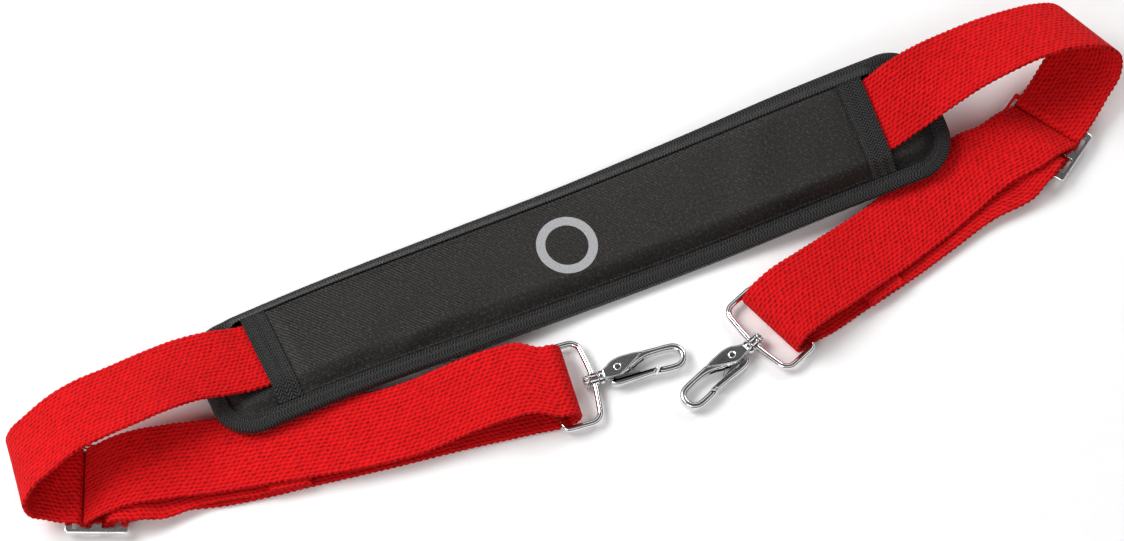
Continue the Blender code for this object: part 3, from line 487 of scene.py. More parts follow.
def pad_frame(u):
    """Centre point, along, across and up directions of the pad at x = u."""
    t = 0.0
    while t < len(PAD_LINE) - 2 and PAD_LINE[int(t) + 1][0] < u:
        t += 1.0
    low, high = t, t + 1.0
    for _ in range(30):
        t = (low + high) / 2
        if spline(PAD_LINE, t)[0] < u:
            low = t
        else:
            high = t
    here = spline(PAD_LINE, t)
    along = heading_at(PAD_LINE, t)
    roll = math.radians(here[3])
    across = Vector((0.0, math.cos(roll), math.sin(roll)))
    across = (across - along * across.dot(along)).normalized()
    return Vector(here[:3]), along, across, along.cross(across)


FRAME_PLACES = np.linspace(PAD_LEFT, PAD_RIGHT, 380)
FRAMES = np.array([[tuple(part) for part in pad_frame(u)] for u in FRAME_PLACES])


def pad_points(u, v, w):
    """Points u along, v towards the far edge and w above the pad's underside."""
    u, v, w = np.broadcast_arrays(np.asarray(u, float), v, w)
    held = np.clip(u, PAD_LEFT, PAD_RIGHT)
    parts = [np.stack([np.interp(held, FRAME_PLACES, FRAMES[:, part, axis])
                       for axis in range(3)], -1) for part in range(4)]
    centre, along, across, up = parts
    return (centre + along * (u - held)[..., None] + across * v[..., None]
            + up * w[..., None] + np.array(PAD_ORIGIN))


def pad_half(u, inset=0.0):
    """Half width of the pad's rounded outline at x = u, drawn in by inset."""
    corner, half = PAD_CORNER - inset, PAD_WIDTH / 2 - inset
    edge = np.clip(np.minimum(u - (PAD_LEFT + inset), PAD_RIGHT - inset - u), 0.0, corner)
    return half - corner + np.sqrt(np.maximum(corner**2 - (corner - edge)**2, 0.0))


LAYER_BACKING = BINDING_THICK + GAP
LAYER_CORE = LAYER_BACKING + CLOTH + SOFT_GAP
LAYER_COVER = LAYER_CORE + CORE_THICK + SOFT_GAP
LAYER_WEB = LAYER_COVER + CLOTH + SOFT_GAP
LAYER_SLEEVE = LAYER_WEB + WEB_THICK + SOFT_GAP
EDGE_COVER = LAYER_BACKING + CLOTH + GAP
EDGE_SLEEVE = EDGE_COVER + CLOTH + GAP
RIM_GAP = 0.7
NEAR_SHOULDER = TUNNEL_OFFSET - WEB_WIDTH / 2 - 0.6
FAR_SHOULDER = TUNNEL_OFFSET + WEB_WIDTH / 2 + 0.6


def ease(f):
    """Smooth step from 0 to 1."""
    f = np.clip(f, 0.0, 1.0)
    return f * f * (3 - 2 * f)


def edge_distance(u, v):
    """How far a place lies inside the pad's rounded outline."""
    x = np.abs(u - (PAD_LEFT + PAD_RIGHT) / 2) - ((PAD_RIGHT - PAD_LEFT) / 2 - PAD_CORNER)
    y = np.abs(v) - (PAD_WIDTH / 2 - PAD_CORNER)
    outside = np.hypot(np.maximum(x, 0.0), np.maximum(y, 0.0))
    return PAD_CORNER - outside - np.minimum(np.maximum(x, y), 0.0)


def cover_height(u, v, start=11.0):
    """Underside of the cover, which rises over the foam from this far in."""
    return EDGE_COVER + (LAYER_COVER - EDGE_COVER) * ease((edge_distance(u, v) - start) / 8.0)


def sleeve_height(u, v):
    """Underside of the sleeve panel, which rises over the webbing."""
    near, far = ease((NEAR_SHOULDER - v) / 15.0), ease((v - FAR_SHOULDER) / 9.5)
    drop = np.where(v < NEAR_SHOULDER, near, far)
    own = LAYER_SLEEVE - (LAYER_SLEEVE - EDGE_SLEEVE) * drop
    return np.maximum(own, cover_height(u, v) + CLOTH + GAP)


def rim_height(u, v):
    """Underside of the binding's top side, above whichever cloth lies there."""
    near_hem = np.minimum(u - SLEEVE_LEFT, SLEEVE_RIGHT - u)
    share = ease((near_hem + 13.0) / 10.0)
    plain = cover_height(u, v) + CLOTH + RIM_GAP
    return plain + (sleeve_height(u, v) - cover_height(u, v)) * share


# Soft dents and ridges of the sleeve panel: u, v, length, width, turn, height
FOLDS = [
    (-118.0, -17.0, 34.0, 7.0, 24.0, -0.9), (-96.0, -22.0, 40.0, 6.0, 18.0, 0.8),
    (-150.0, -20.0, 30.0, 8.0, 30.0, 0.7), (-60.0, -24.0, 46.0, 6.0, 8.0, -0.7),
    (-30.0, -20.0, 30.0, 8.0, 20.0, 0.6), (40.0, -25.0, 52.0, 6.0, 5.0, 0.7),
    (78.0, -21.0, 36.0, 7.0, 14.0, -0.6), (118.0, 4.0, 26.0, 15.0, 70.0, -0.8),
    (140.0, 6.0, 24.0, 13.0, 75.0, 0.8), (166.0, 8.0, 22.0, 12.0, 72.0, -0.7),
    (150.0, -24.0, 44.0, 6.0, 6.0, 0.8), (196.0, -14.0, 16.0, 8.0, 60.0, 0.6),
    (-184.0, 2.0, 20.0, 12.0, 80.0, 0.6), (-60.0, 14.0, 60.0, 12.0, 0.0, 0.5),
    (60.0, 20.0, 50.0, 9.0, 0.0, 0.4), (-165.0, 22.0, 36.0, 8.0, 10.0, -0.5),
]


def wrinkle(u, v):
    """Soft dents of the panel, none where it is sewn down or lies under a hem."""
    total = np.zeros(np.broadcast(u, v).shape)
    for fu, fv, length, width, turn, height in FOLDS:
        turn = math.radians(turn)
        x = (u - fu) * math.cos(turn) + (v - fv) * math.sin(turn)
        y = -(u - fu) * math.sin(turn) + (v - fv) * math.cos(turn)
        total = total + height * np.exp(-(x / length)**2 - (y / width)**2)
    pucker = 0.16 * np.sin(u / 3.1) * np.exp(-((v + 30.5) / 3.4)**2)
    pucker = pucker + 0.12 * np.sin(u / 3.7 + 1.0) * np.exp(-((v - 31.0) / 2.6)**2)
    hold = ease((PAD_WIDTH / 2 - BINDING_WIDTH - np.abs(v)) / 6.0)
    ends = ease(np.minimum(u - SLEEVE_LEFT - HEM_WIDTH, SLEEVE_RIGHT - HEM_WIDTH - u) / 9.0)
    soft = 1.1 * np.tanh(total / 1.1) + 0.75
    return (soft + pucker) * hold * ends


def slab(name, stations, places, low, high, look):
    """Cloth between two height functions; places gives v across for each u."""
    rings, coords = [], []
    for u in stations:
        row = places(u)
        top = pad_points(u, row, high(u, row))
        under = pad_points(u, row[::-1], low(u, row[::-1]))
        rings.append(np.concatenate([top, under]))
        coords.append(np.concatenate([row, row[::-1], row[:1]]))
    return skin(name, rings, np.array(coords), stations, look)


def stations_between(low, high, step):
    """Even places from low to high, about a step apart."""
    return np.linspace(low, high, max(2, int(round((high - low) / step)) + 1))


def rounded_stations(inset, step=2.2):
    """Stations along the pad, closer together at its rounded ends."""
    low, high, corner = PAD_LEFT + inset, PAD_RIGHT - inset, PAD_CORNER - inset
    bend = corner * (1 - np.cos(np.radians(np.linspace(4, 90, 16))))
    middle = stations_between(low + corner, high - corner, step)[1:-1]
    return np.concatenate([low + bend, middle, (high - bend)[::-1]])


def across_places(u, inset, count=46):
    """Even places from the near to the far edge of the pad at x = u."""
    return np.linspace(-1, 1, count) * pad_half(u, inset)


def pad_layers(cloth, foam):
    """Backing, foam and cover."""
    backing = slab("pad_underside", rounded_stations(2.0), lambda u: across_places(u, 2.0, 24),
                   lambda u, v: LAYER_BACKING + 0 * v,
                   lambda u, v: LAYER_BACKING + CLOTH + 0 * v, cloth)
    core = slab("pad_filling", rounded_stations(CORE_INSET, 6.0),
                lambda u: across_places(u, CORE_INSET, 16),
                lambda u, v: LAYER_CORE + 0 * v,
                lambda u, v: np.maximum(LAYER_CORE + CORE_EDGE,
                                        cover_height(u, v, 13.5) - SOFT_GAP), foam)
    cover = slab("pad_top_cloth", rounded_stations(2.0), lambda u: across_places(u, 2.0),
                 cover_height, lambda u, v: cover_height(u, v) + CLOTH, cloth)
    return backing, core, cover


def sleeve(cloth):
    """The outer panel, with the soft dents that the webbing under it leaves."""
    places = np.linspace(-41.0, FAR_SHOULDER + 7.4, 84)
    return slab("sleeve_cloth", stations_between(SLEEVE_LEFT, SLEEVE_RIGHT, 1.3),
                lambda u: places, sleeve_height,
                lambda u, v: sleeve_height(u, v) + CLOTH + wrinkle(u, v), cloth)


def hem(name, low, look):
    """Woven tape over one end of the panel, from the binding to the binding."""
    inner = PAD_WIDTH / 2 - BINDING_WIDTH - 0.5
    base = CLOTH + SOFT_GAP
    places = np.linspace(-inner, inner, 60)
    stations = stations_between(low, low + HEM_WIDTH, 0.8)
    edge = np.minimum(stations - low, low + HEM_WIDTH - stations)
    rings, coords = [], []
    for u, from_edge in zip(stations, edge):
        drop = 0.45 * (1 - ease(from_edge / 1.1))
        groove = 0.30 * math.exp(-((from_edge - HEM_STITCH) / 0.5)**2)
        ripple = 0.06 * np.sin(places / 0.55)
        top = sleeve_height(u, places) + base + BINDING_THICK - drop - groove + ripple
        low_side = sleeve_height(u, places[::-1]) + base
        rings.append(np.concatenate([pad_points(u, places, top),
                                     pad_points(u, places[::-1], low_side)]))
        coords.append(np.full(2 * len(places) + 1, u))
    obj = skin(name, rings, np.array(coords), stations * 0, look)
    relabel(obj, np.concatenate([places, places[::-1], places[:1]]))
    return obj


def relabel(obj, run):
    """Set the second cloth coordinate by place in the ring instead of by ring."""
    size = len(run) - 1
    layer = obj.data.uv_layers["cloth"]
    uv = np.empty(len(obj.data.loops) * 2)
    layer.data.foreach_get("uv", uv)
    uv = uv.reshape(-1, 2)
    index = np.empty(len(obj.data.loops), int)
    obj.data.loops.foreach_get("vertex_index", index)
    uv[:, 1] = run[index % size] * MM
    layer.data.foreach_set("uv", uv.ravel())


def direction(degrees):
    """Flat direction at an angle from the pad's length."""
    return math.cos(math.radians(degrees)), math.sin(math.radians(degrees))


def outline_places():
    """Places round the pad's outline with outward directions and running length."""
    step = 1.6
    half_u = (PAD_RIGHT - PAD_LEFT) / 2 - PAD_CORNER
    half_v = PAD_WIDTH / 2 - PAD_CORNER
    middle = (PAD_LEFT + PAD_RIGHT) / 2
    places, length = [], 0.0
    for side_u, side_v, start in ((1, -1, -90), (1, 1, 0), (-1, 1, 90), (-1, -1, 180)):
        centre = (middle + side_u * half_u, side_v * half_v)
        turns = int(PAD_CORNER * math.pi / 2 / step)
        for i in range(turns + 1):
            out = direction(start + 90 * i / turns)
            places.append((centre[0] + PAD_CORNER * out[0], centre[1] + PAD_CORNER * out[1],
                           out, length + PAD_CORNER * math.radians(90 * i / turns)))
        length += PAD_CORNER * math.pi / 2
        out = direction(start + 90)
        run = 2 * (half_u if side_u == side_v else half_v)
        count = max(2, int(run / step))
        base = places[-1]
        heading = (-out[1], out[0])
        for i in range(1, count):
            shift = run * i / count
            places.append((base[0] + heading[0] * shift, base[1] + heading[1] * shift, out,
                           length + shift))
        length += run
    return places, length


def binding(look):
    """Folded tape round the rim, pressed in along its row of stitches."""
    places, length = outline_places()
    # the section goes from the underside's inner edge round the rim and over the top,
    # then back inside the fold
    insets = np.array([BINDING_WIDTH, 8.0, 5.0, 2.5, 0.9, 0.25, 0.0, 0.0, 0.25, 0.8, 1.8, 3.2,
                       4.4, 5.4, 6.2, 6.9, RIM_STITCH, 7.9, 8.5, 9.2, 9.9, BINDING_WIDTH,
                       BINDING_WIDTH, 7.0, 3.5, 1.6, 1.4, 1.6, 4.0, 8.0, BINDING_WIDTH])
    crease = 0.42 * np.exp(-((insets - RIM_STITCH) / 0.55)**2)
    rounded = 0.35 * np.exp(-((insets - 4.0) / 2.2)**2)
    top = slice(9, 22)
    rings, run = [], []
    for u, v, out, along in places:
        at_u, at_v = u - out[0] * insets, v - out[1] * insets
        rim = rim_height(at_u, at_v)
        edge = float(rim_height(u - out[0] * 1.4, v - out[1] * 1.4))
        height = np.zeros(len(insets))
        height[4:6] = (0.05, 0.35)
        height[6], height[7] = 0.9, edge - 0.1
        height[8] = edge + BINDING_THICK * 0.55
        height[top] = (rim + BINDING_THICK - crease + rounded)[top]
        height[9] = edge + BINDING_THICK * 0.95
        height[21] -= 0.25
        height[22:25] = rim[22:25]
        height[25:27] = (edge, (edge + BINDING_THICK) / 2)
        height[27:] = BINDING_THICK
        pulse = 0.05 * math.sin(along * 2 * math.pi / RIM_PITCH) * crease
        rings.append(pad_points(at_u, at_v, height + pulse))
        run.append(along)
    widths = np.append(np.abs(np.diff(insets)) + 0.15, BINDING_THICK)
    profile = np.concatenate([[0], np.cumsum(widths)])
    obj = skin("pad_rim_tape", rings, profile, run + [length], look, closed=True, sharp=60.0)
    return obj, places


def panel_seam(side):
    """Points along one long seam of the panel, just inside the binding."""
    u = np.arange(SLEEVE_LEFT + HEM_WIDTH + 2.0, SLEEVE_RIGHT - HEM_WIDTH - 2.0, 1.5)
    v = np.full(len(u), side * (PAD_WIDTH / 2 - BINDING_WIDTH - 2.0))
    return pad_points(u, v, sleeve_height(u, v) + CLOTH + wrinkle(u, v))


def round_rim(places, inset, lift):
    """Points on top of the binding at a distance in from its edge."""
    points = []
    for u, v, out, _ in places:
        at_u, at_v = u - out[0] * inset, v - out[1] * inset
        points.append(pad_points(at_u, at_v, float(rim_height(at_u, at_v)) + lift))
    return np.array(points)


def running_stitches(line, closed, pitch, share, sink):
    """Short thread loops that dive in and out along a line of points."""
    if closed:
        line = np.concatenate([line, line[:1]])
    gaps = np.linalg.norm(np.diff(line, axis=0), axis=1)
    length = np.concatenate([[0], np.cumsum(gaps)])
    stitches = []
    for start in np.arange(0.0, length[-1] - pitch, pitch):
        at = start + np.linspace(0, 1, 6) * pitch * share
        path = np.stack([np.interp(at, length, line[:, axis]) for axis in range(3)], -1)
        path[:, 2] += np.array([-sink, 0.02, 0.1, 0.1, 0.02, -sink])
        stitches.append(path)
    return stitches


def zigzag(start_u, end_u, points, pitch, width):
    """A looping stitch row between two places of a function of (along, aside)."""
    count = int(abs(end_u - start_u) / pitch)
    path = []
    for i in range(count * 6 + 1):
        f = i / 6
        phase = 2 * math.pi * f
        path.append(points(start_u + (end_u - start_u) * f / count
                           + 0.35 * pitch * math.sin(2 * phase), width * math.cos(phase)))
    return np.array(path)


# --- webbing --------------------------------------------------------------------------

# x, y, z of the middle of the webbing, turn of its width about Z, tilt (far edge up)
LEFT_ARCH = [
    (-223.0, 17.2, 23.5, 0.0, -6.5), (-245.0, 18.0, 31.5, 1.0, -11.0),
    (-268.0, 16.0, 39.0, 2.5, -14.0), (-291.0, 13.8, 43.0, 3.5, -14.5),
    (-311.0, 12.4, 45.0, 3.5, -14.0), (-329.0, 9.8, 45.0, 3.5, -16.0),
    (-347.0, 4.8, 42.0, 3.0, -16.5), (-360.5, 2.0, 35.0, 0.0, -16.0),
    (-366.5, -1.4, 26.0, -6.0, -12.0), (-363.0, -5.2, 17.5, -13.0, -7.0),
    (-353.0, -9.0, 12.8, -19.0, -2.0),
]
RIGHT_ARCH = [
    (240.0, 5.8, 43.0, 2.5, 19.0), (264.0, 9.8, 46.8, 1.5, 5.0),
    (285.0, 11.8, 48.8, 1.0, -6.0), (308.0, 12.6, 50.2, 2.0, -12.0),
    (332.0, 12.0, 51.0, 3.5, -17.0), (353.0, 9.8, 49.5, 8.0, -17.0),
    (370.0, 5.5, 44.0, 14.0, -13.0), (378.0, 0.0, 34.5, 20.0, -8.0),
    (373.5, -7.6, 23.5, 26.0, -4.0), (362.0, -14.2, 15.5, 29.0, -1.0),
]
LEFT_BOTTOM = [
    (-250.0, -39.5, 1.6, -15.0, 0.0), (-192.0, -50.5, 1.6, -11.5, 0.0),
    (-135.0, -59.8, 1.6, -9.5, 0.0), (-85.0, -67.5, 1.6, -8.0, 0.0),
    (-58.0, -72.3, 1.6, -7.5, 0.0),
]
LEFT_TOP = [
    (-54.0, -67.5, 21.0, -8.0, 0.0), (-72.0, -64.0, 19.5, -8.0, 0.0),
    (-92.0, -62.0, 16.0, -8.0, 0.0), (-130.0, -59.8, 11.5, -9.0, 0.0),
    (-170.0, -53.0, 10.9, -11.0, 0.0), (-200.0, -45.8, 10.9, -12.5, 0.0),
    (-226.0, -39.5, 10.9, -14.0, 0.0), (-252.0, -33.5, 10.8, -16.0, 0.0),
    (-280.0, -26.5, 14.3, -19.0, 0.0),
]
LEFT_TAIL = [
    (-262.0, -35.8, 5.4, -17.0, 0.0), (-230.0, -43.0, 4.9, -13.5, 0.0),
    (-199.0, -49.4, 4.8, -12.0, 0.0),
]
RIGHT_BOTTOM = [
    (268.0, -55.5, 1.6, 21.0, 0.0), (236.0, -62.5, 1.6, 17.0, 0.0),
    (190.0, -73.5, 1.6, 15.0, 0.0), (152.0, -82.0, 1.6, 16.5, 0.0),
    (131.0, -86.3, 1.6, 18.5, 0.0),
]
RIGHT_TOP = [
    (124.0, -85.3, 21.2, 20.0, 2.0), (143.0, -80.5, 18.5, 18.0, 2.0),
    (163.0, -75.5, 14.8, 17.0, 1.0), (190.0, -68.8, 10.6, 16.0, 0.0),
    (222.0, -59.5, 9.0, 16.0, 0.0), (250.0, -51.0, 9.6, 18.0, 0.0),
    (280.0, -43.0, 14.0, 24.0, 0.0),
]
RIGHT_TAIL = [
    (262.0, -58.2, 6.3, 20.0, 0.0), (228.0, -66.0, 4.9, 16.0, 0.0),
    (194.0, -74.6, 4.8, 15.5, 0.0), (165.0, -81.2, 4.8, 16.0, 0.0),
]
# place, turn, and direction of the webbing that leads to the ring
SLIDERS = {"left": (-323.1, -23.9, -24.0, 1.0), "right": (321.5, -40.8, 32.5, -1.0)}
PASSES = {"left": (-322.7, -23.0, -22.0, 1.0), "right": (321.0, -40.0, 30.5, -1.0)}
RINGS = {"left": (-13.5, -79.5, -7.0, 1.0), "right": (89.0, -97.5, 20.0, -1.0)}


def local_rows(place, profile):
    """Turn (distance along, height, sideways shift) at a slider or ring into rows."""
    x, y, turn, way = place
    angle = math.radians(turn)
    rows = []
    for along, height, *shift in profile:
        aside = shift[0] if shift else 0.0
        rows.append((x + way * math.cos(angle) * along - math.sin(angle) * aside,
                     y + way * math.sin(angle) * along + math.cos(angle) * aside,
                     height, turn, 0.0))
    return rows


def arc(centre, radius, start, end, count):
    """Points of a circular arc, in degrees."""
    angles = [math.radians(start + (end - start) * i / count) for i in range(count + 1)]
    return [(centre[0] + radius * math.cos(a), centre[1] + radius * math.sin(a))
            for a in angles]


def wrap_pairs(before, after, drop):
    """Path under the slider's middle bar, standing out on each side and below it."""
    pairs = arc((-before + drop, SLIDER_BASE), drop, 180, 270, 5)
    return pairs + arc((after - drop, SLIDER_BASE), drop, 270, 360, 5)


def sleeve_rows(side):
    """The webbing inside the sleeve, from the pad's middle to one end."""
    low, high = (SLEEVE_LEFT - 2.0, 10.0) if side == "left" else (10.0, SLEEVE_RIGHT + 2.0)
    rows = []
    for i in range(13):
        u = low + (high - low) * i / 12
        centre, _, across, up = pad_frame(u)
        point = centre + across * TUNNEL_OFFSET + up * (LAYER_WEB + WEB_THICK / 2)
        turn = math.degrees(math.atan2(-across.x, across.y))
        rows.append((*point, turn, math.degrees(math.asin(across.z))))
    return list(reversed(rows)) if side == "left" else rows


def side_route(side):
    """Route rows of one side, from the pad's middle to the tail's end."""
    left = side == "left"
    slider, ring = PASSES[side], RINGS[side]
    over = SLIDER_BASE + SLIDER_PLATE + GAP + WEB_THICK / 2
    inner = GAP + WEB_THICK / 2
    down = [(-21.0, over + 0.6), (-17.5, over + 0.2), (-14.2, over + 0.1), (-12.6, 10.35),
            (-11.8, 9.0)]
    up_over = [(10.0, 8.9), (12.0, 10.9), (15.0, over + 0.35), (20.0, over + 0.3)]
    settle = [(24.0, over - 0.45, 1.0), (29.5, 8.0, 2.8), (38.0, 4.0, 5.8), (45.0, 2.4, 8.2)]
    fold_middle = -(RING_DEPTH - RING_WIRE) + FOLD_LENGTH - FOLD_RADIUS
    fold = arc((fold_middle, LOWEST_WEB + FOLD_RADIUS), FOLD_RADIUS, -90, 96, 9)
    come_down = [(20.0, over + 2 * LAYER + 1.4, 8.0), (10.0, over + 2 * LAYER + 0.7, 5.2),
                 (1.5, 14.9, 2.6), (-3.4, 12.3, 1.0), (-6.3, 10.9), (-7.6, 9.2)]
    tuck = [(6.4, 9.0), (7.3, 11.3), (9.8, 13.5), (14.0, over + LAYER + 0.6),
            (20.0, over + LAYER + 0.5), (29.0, over + 1.8, 0.9), (38.0, 8.8, 2.1)]
    rows = sleeve_rows(side) + (LEFT_ARCH if left else RIGHT_ARCH)
    rows += local_rows(slider, down + wrap_pairs(10.9, 9.5, inner + LAYER) + up_over + settle)
    rows += (LEFT_BOTTOM if left else RIGHT_BOTTOM) + local_rows(ring, fold)
    rows += (LEFT_TOP if left else RIGHT_TOP)
    rows += local_rows(slider, come_down + wrap_pairs(7.4, 6.1, inner) + tuck)
    return rows + (LEFT_TAIL if left else RIGHT_TAIL)


def route_places(side):
    """Closely spaced (point, width direction, travel direction) along one side."""
    rows = side_route(side)
    places = []

    def place_at(t):
        row = spline(rows, t)
        turn, tilt = math.radians(row[3]), math.radians(row[4])
        across = (-math.sin(turn) * math.cos(tilt), math.cos(turn) * math.cos(tilt),
                  math.sin(tilt))
        return (row[0], row[1], max(row[2], LOWEST_WEB)), across, heading_at(rows, t)

    for i in range(len(rows) - 1):
        steps = max(1, round(math.dist(rows[i][:3], rows[i + 1][:3]) / WEB_STEP))
        places += [place_at(i + k / steps) for k in range(steps)]
    places.append(place_at(float(len(rows) - 1)))
    return places + folded_end(places)


def folded_end(places):
    """The tail's end turned back over itself for the sewn tab."""
    point, across, along = (Vector(p) for p in places[-1])
    radius = (WEB_THICK + 0.05) / 2
    up = Vector((0.0, 0.0, 1.0))
    out = []
    for angle in range(30, 180, 30):
        a = math.radians(angle)
        out.append((point + along * radius * math.sin(a) + up * radius * (1 - math.cos(a)),
                    across, along * math.cos(a) + up * math.sin(a)))
    for spot, side, way in reversed(places):
        if (Vector(spot) - point).length > TAB_LENGTH:
            break
        out.append((Vector(spot) + up * radius * 2, Vector(side), -Vector(way)))
    return [tuple(tuple(part) for part in spot) for spot in out]


def webbing_profile():
    """Millimetres across and share of half the thickness, round the section."""
    flat_half, rounding, count = 23.6, 1.4, 26
    flat = np.linspace(-flat_half, flat_half, count)
    turn = np.radians(np.linspace(-70, 70, 6))
    far = np.stack([flat_half + rounding * np.cos(turn[::-1]), np.sin(turn[::-1])], -1)
    near = np.stack([-flat_half - rounding * np.cos(turn), np.sin(turn)], -1)
    top = np.stack([flat, np.ones(count)], -1)
    under = np.stack([flat[::-1], -np.ones(count)], -1)
    return np.concatenate([top, far, under, near])


def webbing(look):
    """The whole length of webbing, tail to tail, with uneven woven edges."""
    left, right = route_places("left"), route_places("right")
    places = [(p, c, tuple(-x for x in a)) for p, c, a in reversed(left)] + right[1:]
    point = np.array([p for p, _, _ in places])
    across = np.array([c for _, c, _ in places])
    along = np.array([a for _, _, a in places])
    up = unit(np.cross(along, across))
    length = np.concatenate([[0], np.cumsum(np.linalg.norm(np.diff(point, axis=0), axis=1))])
    profile = webbing_profile()
    edge = np.clip((np.abs(profile[:, 0]) - 20.0) / 5.0, 0, 1)**2
    bumps = 0.42 * np.sin(length * 2 * math.pi / 4.0 + 1.2 * np.sin(length / 17.0))
    drift = 0.22 * np.sin(length / 31.0) + 0.16 * np.sin(length / 13.0 + 1.3)
    side = np.sign(profile[:, 0])[None, :]
    a = (profile[None, :, 0] + side * edge[None] * (bumps[:, None] - 0.30)
         + drift[:, None] * edge[None])
    b = np.broadcast_to(profile[:, 1] * (WEB_THICK / 2), a.shape)
    rings = point[:, None] + across[:, None] * a[..., None] + up[:, None] * b[..., None]
    rings = rings + np.array(PAD_ORIGIN)
    coords = np.append(profile[:, 0], profile[0, 0]) + 60.0
    obj = skin("webbing", rings, coords, length, look, sharp=70.0)
    return obj, float(length[-1]), left, right


def tab_stitches(places, name, look):
    """Rows of stitches through the tail's folded end."""
    top = places[-16:-4]
    paths = []
    for at in (0, len(top) // 2, len(top) - 1):
        point, across = Vector(top[at][0]), Vector(top[at][1])
        line = [tuple(point + across * s + Vector((0, 0, WEB_THICK / 2)))
                for s in np.linspace(-21, 21, 60)]
        line = np.array(line) + np.array(PAD_ORIGIN)
        paths += running_stitches(line, False, pitch=3.2, share=0.72, sink=0.35)
    return threads(name, paths, 0.32, look)


# --- metal ----------------------------------------------------------------------------

def resample(points, step):
    """Closed outline as a smooth curve; corners that turn more than CORNER stay."""
    count = len(points)
    pts = [Vector(p) for p in points]

    def turn(i):
        one = (pts[i] - pts[i - 1]).normalized()
        two = (pts[(i + 1) % count] - pts[i]).normalized()
        return math.degrees(one.angle(two))

    corner = [turn(i) > CORNER for i in range(count)]
    out = []
    for i in range(count):
        p1, p2 = pts[i], pts[(i + 1) % count]
        p0 = p1 + (p1 - p2) if corner[i] else pts[i - 1]
        p3 = p2 + (p2 - p1) if corner[(i + 1) % count] else pts[(i + 2) % count]
        d0 = max((p1 - p0).length, 0.01)**0.5
        d1 = max((p2 - p1).length, 0.01)**0.5
        d2 = max((p3 - p2).length, 0.01)**0.5
        m1 = (p2 - p1) - (p2 - p0) * (d1 / (d0 + d1)) + (p1 - p0) * (d1 / d0)
        m2 = (p2 - p1) + (p3 - p2) * (d1 / d2) - (p3 - p1) * (d1 / (d1 + d2))
        steps = max(1, round((p2 - p1).length / step))
        for k in range(steps):
            w1, w2, w3, w4 = hermite(k / steps)
            out.append(tuple(p1 * w1 + m1 * w2 + p2 * w3 + m2 * w4))
    return out


def outline_normals(points):
    """Inward unit directions at an anticlockwise outline's corners, and their stretch."""
    one = unit(points - np.roll(points, 1, 0))
    two = unit(np.roll(points, -1, 0) - points)
    first = np.stack([-one[:, 1], one[:, 0]], -1)
    normal = unit(first + np.stack([-two[:, 1], two[:, 0]], -1))
    return normal, 1.0 / np.maximum((normal * first).sum(1), 0.35)


def outline_clearance(points, spots):
    """Distance from each spot to the nearest edge of an outline."""
    start, run = points[None], (np.roll(points, -1, 0) - points)[None]
    away = spots[:, None] - start
    share = (away * run).sum(-1) / np.maximum((run * run).sum(-1), 1e-9)
    return np.linalg.norm(away - run * np.clip(share, 0, 1)[..., None], axis=-1).min(1)


def inset_outline(points, amount):
    """Outline drawn in by an amount, or less where the shape is too narrow for it."""
    pts = np.array(points, float)
    normal, stretch = outline_normals(pts)
    low, reach = np.zeros(len(pts)), np.full(len(pts), float(amount))
    high = reach
    for _ in range(14):
        spots = pts + normal * (stretch * reach)[:, None]
        fits = outline_clearance(pts, spots) >= reach * 0.985
        low, high = np.where(fits, reach, low), np.where(fits, high, reach)
        reach = (low + high) / 2
    return pts + normal * (stretch * low)[:, None]


def prism(name, points, low, high, look, radius=0.0, steps=4):
    """Solid from a flat outline, its rims rounded to a radius."""
    rings = []
    if radius:
        for i in range(steps + 1):
            a = math.radians(90 * i / steps)
            rings.append((radius * (1 - math.sin(a)), low + radius * (1 - math.cos(a))))
        for inset, z in reversed(rings[:]):
            rings.append((inset, low + high - z))
    else:
        rings = [(0.0, low), (0.0, high)]
    sections = []
    for inset, z in rings:
        flat = inset_outline(points, inset) if inset else np.array(points)
        sections.append(np.concatenate([flat, np.full((len(flat), 1), z)], 1))
    return metal_skin(name, np.array(sections), look)


def metal_skin(name, rings, look, closed=False, sharp=METAL_SHARP):
    """Skin equal rings of points into a plain metal mesh, in millimetres."""
    faces = ring_faces(*rings.shape[:2], closed)
    obj = finish_mesh(name, rings.reshape(-1, 3) * MM, faces, look, sharp)
    face_out(obj)
    return obj


def turned(name, profile, look, sides=40, ripple=None):
    """Solid of revolution about X from (x, radius) pairs."""
    rings = []
    for x, radius in profile:
        ring = []
        for k in range(sides):
            a = 2 * math.pi * k / sides
            r = radius + (ripple(k, radius) if ripple else 0.0)
            ring.append((x, r * math.cos(a), r * math.sin(a)))
        rings.append(ring)
    return metal_skin(name, np.array(rings), look)


def boolean(target, tool, operation):
    """Apply an exact Boolean and remove the tool."""
    mod = target.modifiers.new(operation.lower(), "BOOLEAN")
    mod.operation, mod.solver, mod.object = operation, "EXACT", tool
    bpy.context.view_layer.update()
    graph = bpy.context.evaluated_depsgraph_get()
    mesh = bpy.data.meshes.new_from_object(target.evaluated_get(graph))
    target.modifiers.clear()
    target.data = mesh
    bpy.data.objects.remove(tool)
    mesh.shade_smooth()
    mesh.set_sharp_from_angle(angle=math.radians(METAL_SHARP))


def bore(target, low, high, radius, look):
    """Cut a round hole along X."""
    boolean(target, turned("bore", [(low, radius), (high, radius)], look, BORE_SIDES),
            "DIFFERENCE")


def pivot_hole(target, look):
    """Cut the hole for the gate's rivet."""
    outline = arc(PIVOT, PIVOT_RADIUS + GAP, 0, 345, 23)
    boolean(target, prism("hole", outline, -9, 9, look), "DIFFERENCE")


def crisp(obj):
    """Keep flat faces flat beside rounded rims."""
    mod = obj.modifiers.new("flat_faces", "WEIGHTED_NORMAL")
    mod.keep_sharp = True
    return obj


